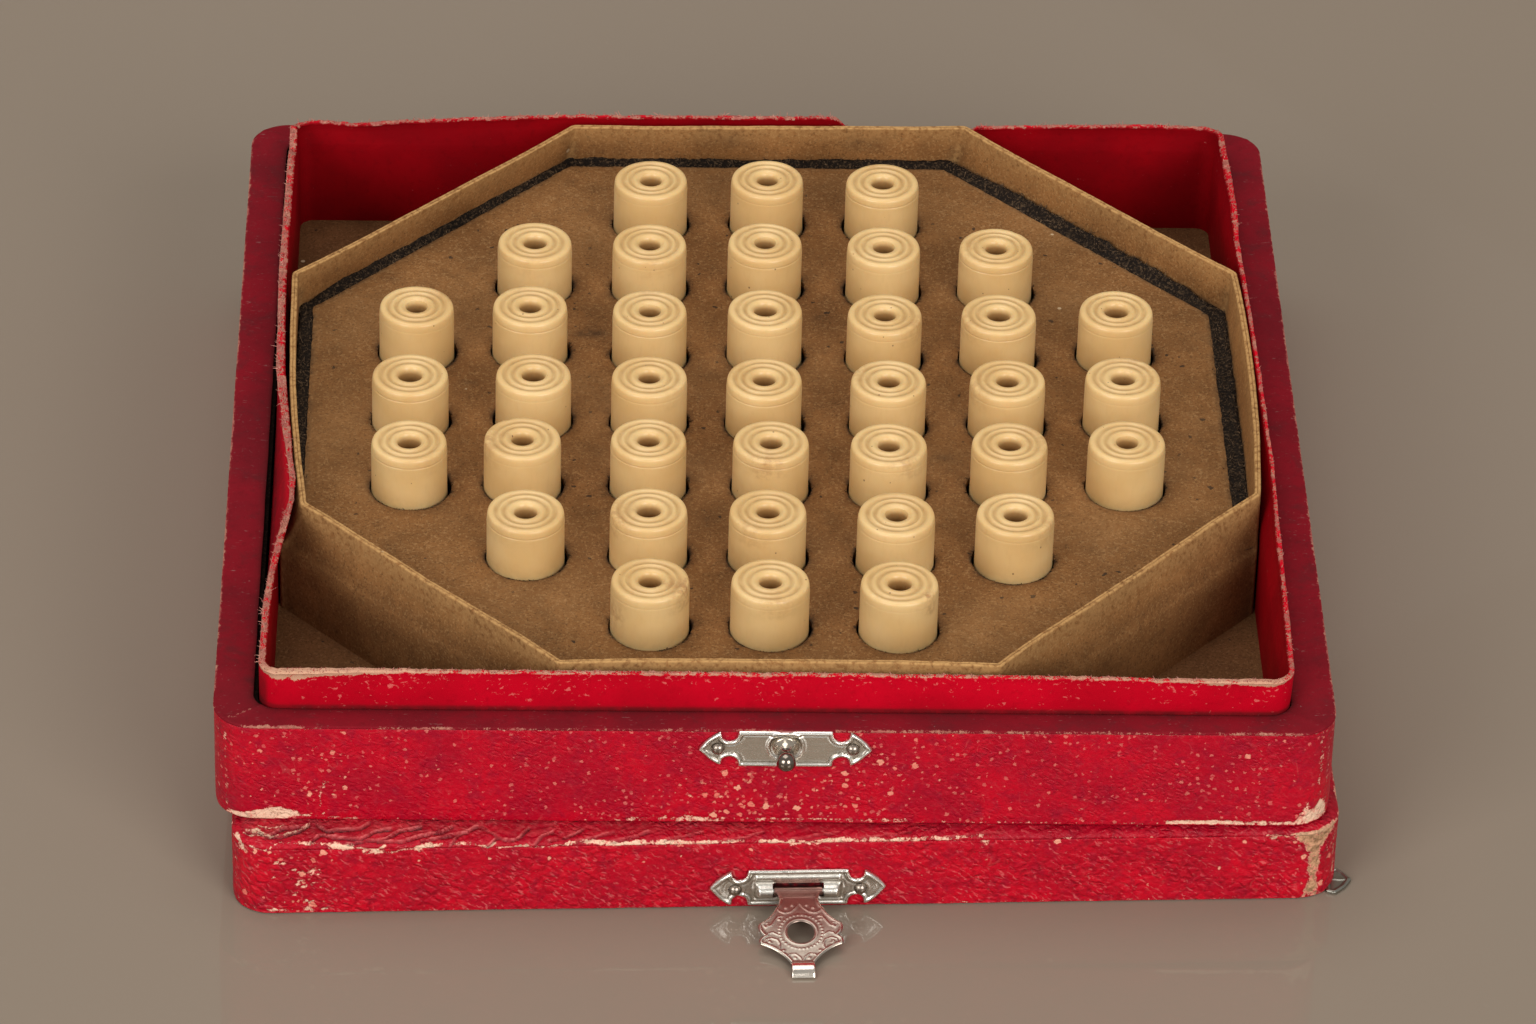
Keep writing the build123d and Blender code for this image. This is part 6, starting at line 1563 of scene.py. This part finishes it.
def knob_plate():
    cx, cz = 1.3, 26.2
    outline = mirrored4(plate_outline(2.95, 6.5, [2.0, (7.6, 1.3), (8.7, 1.75)], None, (9.0, 2.85), [(10.6, 1.75), (12.05, 0)]))

    def sd(P):
        return np.minimum(poly_sd(P, outline), np.hypot(P[:, 0], P[:, 1] - 0.5) - 0.9)

    def top(P):
        s = poly_sd(P, outline)
        z = border(s, 0.20, 0.52)
        x, y = np.abs(P[:, 0]), P[:, 1]
        # a fine second line inside the bead
        z += 0.07 * np.exp(-((s - 0.92) / 0.10) ** 2) * step(8.6, 8.0, x)
        # the ends: leaf shaped bevels meeting at the tip, a hollow round the nail
        d = np.hypot(x - 9.35, y)
        z = np.where(x > 7.6, z - 0.10 * np.exp(-(d / 0.95) ** 2), z)
        leaf = np.clip((x - 9.9) / 0.7, 0, 1) * np.clip(1.0 - np.abs(np.abs(y) - 0.55 * (12.05 - x)) / 0.42, 0, 1)
        z += 0.16 * leaf
        # turned seat of the knob
        r = np.hypot(P[:, 0], P[:, 1] - 0.5)
        z += 0.26 * np.exp(-((r - 2.42) / 0.26) ** 2)
        q = np.column_stack([P, 0 * P[:, 0]])
        return np.minimum(z + 0.012 * fbm(q, 1.6, 2, 101) + 0.006 * fbm(q, 0.5, 2, 102), 0.62)

    V, F, P2, is_top = cut_plate((-12.4, -3.3), (12.4, 3.3), 0.125, sd, top, lambda P: np.full(len(P), 0.0), 2)
    s = poly_sd(P2, outline)
    low = np.clip(0.95 * np.exp(-((s - 0.68) / 0.12) ** 2) + 0.6 * np.exp(-((np.hypot(np.abs(P2[:, 0]) - 9.35, P2[:, 1]) - 0.85) / 0.18) ** 2)
                  + 0.3 * np.exp(-((np.hypot(P2[:, 0], P2[:, 1] - 0.5) - 1.95) / 0.15) ** 2) + 0.08, 0, 1)
    low = np.where(is_top, low, 0.6)
    p = Parts()
    p.add(tray_front_xyz(cx + V[:, 0], cz + V[:, 1], V[:, 2]), F, 0, low)
    p.make("clasp_plate_upper", "tray", [NICKEL], ["knob_plate"])
    p = Parts()
    for u in (-9.35, 9.35):
        W, F, L = dome(0.94, 0.58, (cx + u, cz, 0.5 - 0.10), tray_front_xyz)
        W2, F2, L2 = lathe([(0, -3.3), (0.4, -3.3), (0.4, -0.05), (0, -0.02)], 16) + (None,)
        p.add(W, F, 0, 0.75 * np.exp(-((np.hypot(L[:, 0], L[:, 1]) - 0.86) / 0.16) ** 2))
    p.make("clasp_nails_upper", "tray", [NAIL], ["knob_plate_pins"], sharp=60)
    # the knob: flared foot, waist and ball
    prof = [(0, -0.3), (1.2, -0.3), (1.80, -0.04), (1.82, 0.10), (1.72, 0.22), (1.62, 0.30), (1.66, 0.40), (1.58, 0.52)]
    prof += [(1.42, 0.75), (1.30, 0.98), (1.22, 1.25), (1.14, 1.6), (1.08, 1.95), (1.05, 2.25), (1.08, 2.42)]
    for a in np.radians(np.linspace(128, 0, 19)):
        prof.append((1.4 * math.sin(a), 3.3 + 1.4 * math.cos(a)))
    prof[-1] = (0, 4.7)
    V, F = lathe(prof, 48)
    rr, oo = np.hypot(V[:, 0], V[:, 1]), V[:, 2]
    low = np.clip(0.9 * np.exp(-((oo - 0.36) / 0.12) ** 2) + 0.5 * np.exp(-((oo - 2.2) / 0.35) ** 2), 0, 1)
    p = Parts()
    foot = [1 if np.mean(oo[list(f)]) < 1.75 else 0 for f in F]
    p.add(tray_front_xyz(cx + V[:, 0], 26.7 + V[:, 1], 0.5 + V[:, 2]), F, 0, low)
    p.I = foot
    p.make("clasp_knob", "tray", [KNOB_METAL, FOOT_METAL], ["knob"], sharp=50)


def hasp():
    cx, cz = 1.45, 3.7
    outline = mirrored4(plate_outline(3.05, 7.0, [2.1, (8.1, 1.35), (9.1, 1.8)], None, (9.35, 2.95), [(11.0, 1.8), (12.4, 0)]))

    def window(P):
        a, b = 3.6 - np.abs(P[:, 0]), 1.25 - np.abs(P[:, 1] + 0.25)
        return np.minimum(a, b)

    def sd(P):
        return np.minimum(poly_sd(P, outline), -window(P))

    def top(P):
        s = poly_sd(P, outline)
        x, y = np.abs(P[:, 0]), P[:, 1]
        z = border(s, 0.28, 0.46)
        # the middle: high bevelled bar above the window, a stepped field round it
        bar = np.minimum(2.45 - np.abs(y - 0.0), 6.6 - x - 0.25 * np.abs(y))
        z += 0.20 * step(-0.05, 0.35, bar) * step(0.3, 0.7, s)
        z += 0.10 * step(1.15, 1.45, y) * step(0, 0.3, bar) * step(0.0, 0.5, 2.35 - y)
        # ends: raised leaves with a sharp crest, hollow round the nail
        e = np.hypot(x - 8.8, y + 0.4)
        crest = np.maximum(0, 1 - np.abs(np.hypot(x - 8.6, y * 0.92) - 2.35) / 0.75)
        z = np.where(x > 8.5, z + 0.26 * crest * step(8.6, 9.5, x), z)
        z = np.where(x > 7.4, z - 0.10 * np.exp(-(e / 0.9) ** 2) + 0.08 * np.exp(-((e - 1.2) / 0.3) ** 2), z)
        # bosses that hold the pin
        yy = (P[:, 1] + 0.2)
        boss = 0.75 + np.sqrt(np.clip(0.95 ** 2 - yy ** 2, 0, None))
        ends = np.clip((5.75 - x) / 0.45, 0, 1)
        boss = 0.75 + (boss - 0.75) * np.sqrt(np.clip(1 - (1 - ends) ** 2, 0, 1))
        on = (x > 3.55) & (x < 5.75) & (np.abs(yy) < 0.95)
        z = np.where(on, np.maximum(z, boss), z)
        near = np.hypot(np.clip(np.abs(x - 4.65) - 1.1, 0, None), np.clip(np.abs(yy) - 0.95, 0, None))
        z = np.where(~on, z + 0.18 * np.exp(-(near / 0.22) ** 2) - 0.10 * np.exp(-((near - 0.55) / 0.22) ** 2), z)
        q = np.column_stack([P, 0 * P[:, 0]])
        z += 0.012 * fbm(q, 1.6, 2, 103) + 0.006 * fbm(q, 0.5, 2, 104)
        return z

    V, F, P2, is_top = cut_plate((-12.8, -3.4), (12.8, 3.4), 0.125, sd, top, lambda P: np.full(len(P), 0.0), 2)
    s = poly_sd(P2, outline)
    x = np.abs(P2[:, 0])
    near = np.hypot(np.clip(np.abs(x - 4.65) - 1.1, 0, None), np.clip(np.abs(P2[:, 1] + 0.2) - 0.95, 0, None))
    low = np.clip(0.75 * np.exp(-((s - 0.74) / 0.14) ** 2) + 0.8 * np.exp(-((near - 0.30) / 0.22) ** 2) + 0.5 * np.exp(-((np.hypot(x - 8.8, P2[:, 1] + 0.4) - 0.85) / 0.2) ** 2) + 0.12, 0, 1)
    low = np.where(is_top, low, 0.6)
    p = Parts()
    p.add(lid_front_xyz(cx + V[:, 0], cz + V[:, 1], V[:, 2]), F, 0, low)
    p.make("clasp_plate_lower", "lid", [NICKEL], ["hasp_plate"])
    p = Parts()
    for u in (-8.8, 8.8):
        W, F, L = dome(0.90, 0.58, (cx + u, 3.4, 0.5 - 0.08), lid_front_xyz)
        p.add(W, F, 0, 0.75 * np.exp(-((np.hypot(L[:, 0], L[:, 1]) - 0.86) / 0.16) ** 2))
    p.make("clasp_nails_lower", "lid", [NAIL], ["hasp_plate_pins"], sharp=60)

    # ---- the leaf, folded out onto the table
    down = math.asin((3.5 + 0.12 * 0.973 - 0.02) / 15.6)
    dc, ds = math.cos(down), math.sin(down)
    across = np.array((TC, TS, 0.0))
    out = np.array((TS * dc, -TC * dc, -ds))
    nrm = np.array((TS * ds, -TC * ds, dc))
    pivot = lid_xyz(1.45, -78.5, 3.5)

    def leaf_xyz(a, v, w):
        return pivot + np.outer(a, across) + np.outer(v, out) + np.outer(w, nrm)

    half = [(3.3, -0.30), (3.3, -0.45)] + arc_pts((3.3, -0.45), (2.75, -2.0), (3.3, -3.3), 10)[1:] + arc_pts((3.3, -3.3), (4.3, -4.9), (5.8, -6.1), 10)[1:]
    half += arc_pts((5.8, -6.1), (5.85, -7.2), (5.25, -8.3), 8)[1:] + arc_pts((5.25, -8.3), (5.85, -9.0), (5.7, -9.8), 6)[1:] + arc_pts((5.7, -9.8), (3.2, -11.3), (1.6, -13.3), 10)[1:]
    outline2 = [(-a, b) for a, b in reversed(half)][::1] + half
    outline2 = half + [(-a, b) for a, b in reversed(half)]
    curls = [
        [(0.0, -2.7), (0.55, -3.5), (1.35, -4.2), (2.2, -4.35), (2.85, -4.0), (3.0, -3.55)],
        [(2.55, -4.9), (3.2, -5.1), (3.55, -5.7), (4.1, -6.55), (4.85, -6.9), (5.2, -6.5), (4.95, -6.1), (4.5, -6.15)],
        [(3.3, -8.15), (3.9, -7.75), (4.5, -7.9), (4.75, -8.35)],
        [(3.15, -10.6), (3.0, -9.9), (3.35, -9.1), (4.2, -8.75), (4.95, -9.0), (5.05, -9.55), (4.6, -9.85), (4.15, -9.6)],
        [(0.0, -13.0), (0.35, -12.2), (1.0, -11.6), (1.75, -11.65), (2.0, -12.1)],
    ]
    dots = [(1.0, -2.95), (2.95, -5.45), (4.55, -6.55), (4.45, -9.4), (2.55, -11.0), (0.95, -12.35), (1.9, -3.4)]
    beads = [(3.0 * math.cos(a), -7.7 + 3.0 * math.sin(a)) for a in np.arange(34) / 34 * 2 * pi]

    def sd_leaf(P):
        return np.minimum(poly_sd(P, outline2), np.hypot(P[:, 0], P[:, 1] + 7.7) - 1.9)

    def relief(P):
        Q = np.column_stack([np.abs(P[:, 0]), P[:, 1]])
        s = poly_sd(P, outline2)
        r = np.hypot(P[:, 0], P[:, 1] + 7.7)
        e = np.zeros(len(P))
        for c in curls:
            e = np.maximum(e, np.exp(-(seg_dist(Q, c) / 0.105) ** 2))
        for c in dots:
            e = np.maximum(e, 1.2 * np.exp(-(np.hypot(*(Q - c).T) / 0.20) ** 2))
        for c in beads:
            e = np.maximum(e, 0.95 * np.exp(-(np.hypot(*(P - c).T) / 0.15) ** 2))
        e = np.maximum(e, 0.8 * np.exp(-((r - 2.25) / 0.16) ** 2))
        body = P[:, 1] < -1.9
        rim_b = np.exp(-((s - 0.26) / 0.20) ** 2)
        e = np.maximum(e, np.where(body, 1.25 * rim_b, 0.55 * rim_b))
        e = np.maximum(e, 0.5 * np.exp(-((P[:, 1] + 1.45) / 0.12) ** 2))
        return e

    def top_leaf(P):
        s = sd_leaf(P)
        q = np.column_stack([P, 0 * P[:, 0]])
        z = 0.50 + 0.070 * relief(P) + 0.005 * fbm(q, 1.2, 2, 105)
        return z - 0.10 * np.exp(-(np.clip(s, 0, None) / 0.07) ** 2)

    V, F, P2, is_top = cut_plate((-6.3, -13.45), (6.3, -0.30), 0.105, sd_leaf, top_leaf, lambda P: np.full(len(P), 0.30), 2)
    e = relief(P2)
    low = np.clip(0.50 - 0.5 * e + 0.35 * np.exp(-((sd_leaf(P2) - 0.6) / 0.2) ** 2), 0, 1)
    low = np.where(is_top, low, 0.6)
    p = Parts()
    p.add(leaf_xyz(V[:, 0], -V[:, 1], V[:, 2]), F, 0, low)
    # rolled barrel round the pin
    ro, ri, L = 0.65, 0.45, 3.4
    seg = 28
    ring = [(ri, -L), (ro - 0.06, -L), (ro, -L + 0.06)] + [(ro, t) for t in np.linspace(-L + 0.5, L - 0.5, 9)] + [(ro, L - 0.06), (ro - 0.06, L), (ri, L)]
    ang = np.arange(seg) / seg * 2 * pi
    V = np.concatenate([np.column_stack([np.full(seg, t), r * np.cos(ang), r * np.sin(ang)]) for r, t in ring])
    m = len(ring)
    F = []
    for a in range(m):
        b = (a + 1) % m
        for k in range(seg):
            k2 = (k + 1) % seg
            F.append((a * seg + k, b * seg + k, b * seg + k2, a * seg + k2))
    seam = np.exp(-((V[:, 1] - 0.3) / 0.12) ** 2) * (V[:, 2] > 0.3)
    F = [tuple(reversed(f)) for f in F]
    p.add(leaf_xyz(V[:, 0], V[:, 1], V[:, 2]), F, 0, 0.3 + 0.6 * seam)
    # thumb curl
    over = arc_pts((13.0, 0.62), (14.5, 1.2), (15.8, 0.45), 14)
    under = arc_pts((15.6, 0.12), (14.45, 0.84), (13.0, 0.28), 14)
    sec = np.array(over + under)
    mid = sec.mean(0)
    xs = [-1.6, -1.57, -1.48, -1.3] + list(np.linspace(-1.1, 1.1, 9)) + [1.3, 1.48, 1.57, 1.6]
    ins = [0.07, 0.03, 0.0, 0.0] + [0] * 9 + [0, 0, 0.03, 0.07]
    k = len(sec)
    nxt, prv = np.roll(sec, -1, 0), np.roll(sec, 1, 0)
    tn = nxt - prv
    tn /= np.linalg.norm(tn, axis=1)[:, None]
    nr = np.column_stack([-tn[:, 1], tn[:, 0]])
    V = []
    for xx, dd in zip(xs, ins):
        q = sec - nr * dd
        V.append(np.column_stack([np.full(k, xx), q]))
    V = np.concatenate(V)
    F = []
    for a in range(len(xs) - 1):
        for b in range(k):
            b2 = (b + 1) % k
            F.append((a * k + b, a * k + b2, (a + 1) * k + b2, (a + 1) * k + b))
    F.append(tuple(range(k - 1, -1, -1)))
    F.append(tuple((len(xs) - 1) * k + b for b in range(k)))
    p.add(leaf_xyz(V[:, 0], V[:, 1], V[:, 2]), F, 1, 0.15 + 0.5 * np.exp(-((V[:, 1] - 13.1) / 0.35) ** 2) + 0.3 * (np.abs(V[:, 0]) > 1.45))
    ob = p.make("clasp_leaf", "hasp", [LEAF_METAL, CURL_METAL_LIT], ["hasp_leaf"], sharp=35)
    bm = bmesh.new()
    bm.from_mesh(ob.data)
    bmesh.ops.recalc_face_normals(bm, faces=bm.faces)
    bm.to_mesh(ob.data)
    bm.free()
    # painted reflection of the red leather front, on the half near the hinge
    co = np.zeros(len(ob.data.vertices) * 3)
    ob.data.vertices.foreach_get("co", co)
    y = co.reshape(-1, 3)[:, 1]
    t = (y - y.min()) / (y.max() - y.min())
    at = ob.data.attributes.new("painted_red_reflection", "FLOAT", "POINT")
    at.data.foreach_set("value", (0.85 * step(0.42, 0.80, t)).astype(np.float32))


def tab():
    poly = [(80.05, -73.75), (79.2, -72.2), (78.2, -71.2), (77.2, -71.4), (76.7, -72.6), (73.9, -72.6), (73.9, -74.8), (76.3, -74.9), (76.2, -76.4), (77.4, -76.9), (78.9, -75.6)]

    def sd(P):
        return poly_sd(P, poly)

    def top(P):
        s = sd(P)
        q = np.column_stack([P, 0 * P[:, 0]])
        z = np.interp(s, [0, 0.1, 0.25, 0.4, 0.6, 0.8, 3], [0.45, 0.58, 0.65, 0.62, 0.50, 0.50, 0.52])
        z += 0.10 * np.exp(-(seg_dist(P, [(77.0, -73.6), (78.3, -73.9), (79.4, -73.8)]) / 0.2) ** 2)
        return np.minimum(z + 0.01 * fbm(q, 1, 2, 107), 0.66)

    V, F, P2, is_top = cut_plate((73.7, -77.1), (80.3, -71.0), 0.11, sd, top, lambda P: np.full(len(P), 0.2), 2)
    s = sd(P2)
    p = Parts()
    p.add(lid_xyz(V[:, 0], V[:, 1], V[:, 2], 0.0), F, 0, np.clip(0.8 * np.exp(-((s - 0.66) / 0.14) ** 2) + 0.15, 0, 1))
    p.make("rim_tip", "lid", [TAB_METAL], ["side_tab"])


# ------------------------------------------------------------ build the pieces
# darker copy of the liner paper for its inner faces: painted shade
LINER_IN_SHADED = red_paper("red_liner_inside_shaded", (0.30, 0.0006, 0.0045), (0.23, 0.0006, 0.0040), 0.25, (0.5, 0.65), spec=0.05)
PULP = card("red_liner_pulp", (0.46, 0.21, 0.16), (0.40, 0.12, 0.10), (0.62, 0.38, 0.29), specks=0.1, fibre=0.4)
FUZZ_DARK = card("hole_fuzz", (0.020, 0.012, 0.008), (0.012, 0.008, 0.005), (0.06, 0.038, 0.022), specks=0.1, fibre=0.4)
FUZZ = card("black_fuzz", (0.115, 0.072, 0.042), (0.050, 0.031, 0.018), (0.26, 0.165, 0.09), specks=0.1, fibre=0.4)
NAIL = metal("nickel_nail", (0.36, 0.30, 0.25), (0.13, 0.090, 0.070), (0.26, 0.44), amount=0.6)

tray_leather()
rim()
liner()
collar()
board()
pegs()
lid_leather()
lid_pad()
knob_plate()
hasp()
tab()


# ------------------------------------------------------------- floor and light
def table_top():
    """Plain matt table under and behind the case, curving up far behind."""
    w = 1.6
    path = [(-1.3, 0.0), (0.9, 0.0)] + [(0.9 + 0.7 * math.sin(a), 0.7 - 0.7 * math.cos(a)) for a in np.linspace(0.1, pi / 2, 12)] + [(1.6, 1.8)]
    V = []
    for y, z in path:
        V += [(-w, y, z), (w, y, z)]
    F = [(2 * i, 2 * i + 1, 2 * i + 3, 2 * i + 2) for i in range(len(path) - 1)]
    me = bpy.data.meshes.new("table_top")
    me.from_pydata(V, [], F)
    me.polygons.foreach_set("use_smooth", np.ones(len(me.polygons), bool))
    me.update()
    ob = bpy.data.objects.new("table_top", me)
    bpy.context.scene.collection.objects.link(ob)
    m = Mat("table_top", IOR=1.45)
    col = m.mix(m.span(m.noise(420, 2), 0.3, 0.7), (0.250, 0.203, 0.158), (0.240, 0.194, 0.150))
    m.b.inputs["Specular IOR Level"].default_value = 0.42
    col = m.mix(m.span(m.noise(1.2, 3), 0.62, 0.78, 0, 0.08), col, (0.33, 0.28, 0.23))
    mat = m.done(col, m.red(m.mix(m.noise(60), (0.015,) * 3, (0.030,) * 3)))
    me.materials.append(mat)


def area(name, at, target, size, power, color=(1, 1, 1), size_y=None):
    d = bpy.data.lights.new(name, "AREA")
    d.shape = "RECTANGLE"
    d.size = size
    d.size_y = size_y or size
    d.energy = power
    d.color = color
    o = bpy.data.objects.new(name, d)
    at, target = Vector(at), Vector(target)
    o.matrix_world = Matrix.Translation(at) @ (at - target).to_track_quat("Z", "Y").to_matrix().to_4x4()
    bpy.context.scene.collection.objects.link(o)
    return o


def around_us(color, strength):
    w = bpy.data.worlds.new("room")
    w.use_nodes = True
    bg = w.node_tree.nodes["Background"]
    bg.inputs[0].default_value = (*color, 1)
    bg.inputs[1].default_value = strength
    bpy.context.scene.world = w


table_top()
area("key", (1.1, -1.9, 1.15), (0, 0, 0.02), 1.2, 33.0, (1.0, 0.975, 0.94))
area("fill_left", (-1.5, -1.8, 1.2), (0, 0, 0.02), 1.3, 34.0, (1.0, 0.98, 0.96))
area("top", (-0.3, 0.3, 2.0), (0, 0, 0), 1.5, 16.0, (1.0, 0.985, 0.96))
around_us((1.0, 0.985, 0.96), 0.39)

# camera at the photo's viewing angle
cam = bpy.data.cameras.new("camera")
cam.sensor_width = 36.0
cam.lens = 175.46
cam.clip_start, cam.clip_end = 0.05, 20.0
cam_ob = bpy.data.objects.new("camera", cam)
right = Vector((0.99953316, -0.01941683, 0.02358908))
down = Vector((0.00815245, -0.574589, -0.8184015))
fwd = Vector((0.02944479, 0.81821175, -0.57416246))
place = Vector((-0.033876, -0.897891, 0.647907))
cam_ob.matrix_world = Matrix((
    (right.x, -down.x, -fwd.x, place.x),
    (right.y, -down.y, -fwd.y, place.y),
    (right.z, -down.z, -fwd.z, place.z),
    (0, 0, 0, 1)))
bpy.context.scene.collection.objects.link(cam_ob)
bpy.context.scene.camera = cam_ob
bpy.context.scene.view_settings.view_transform = "Standard"
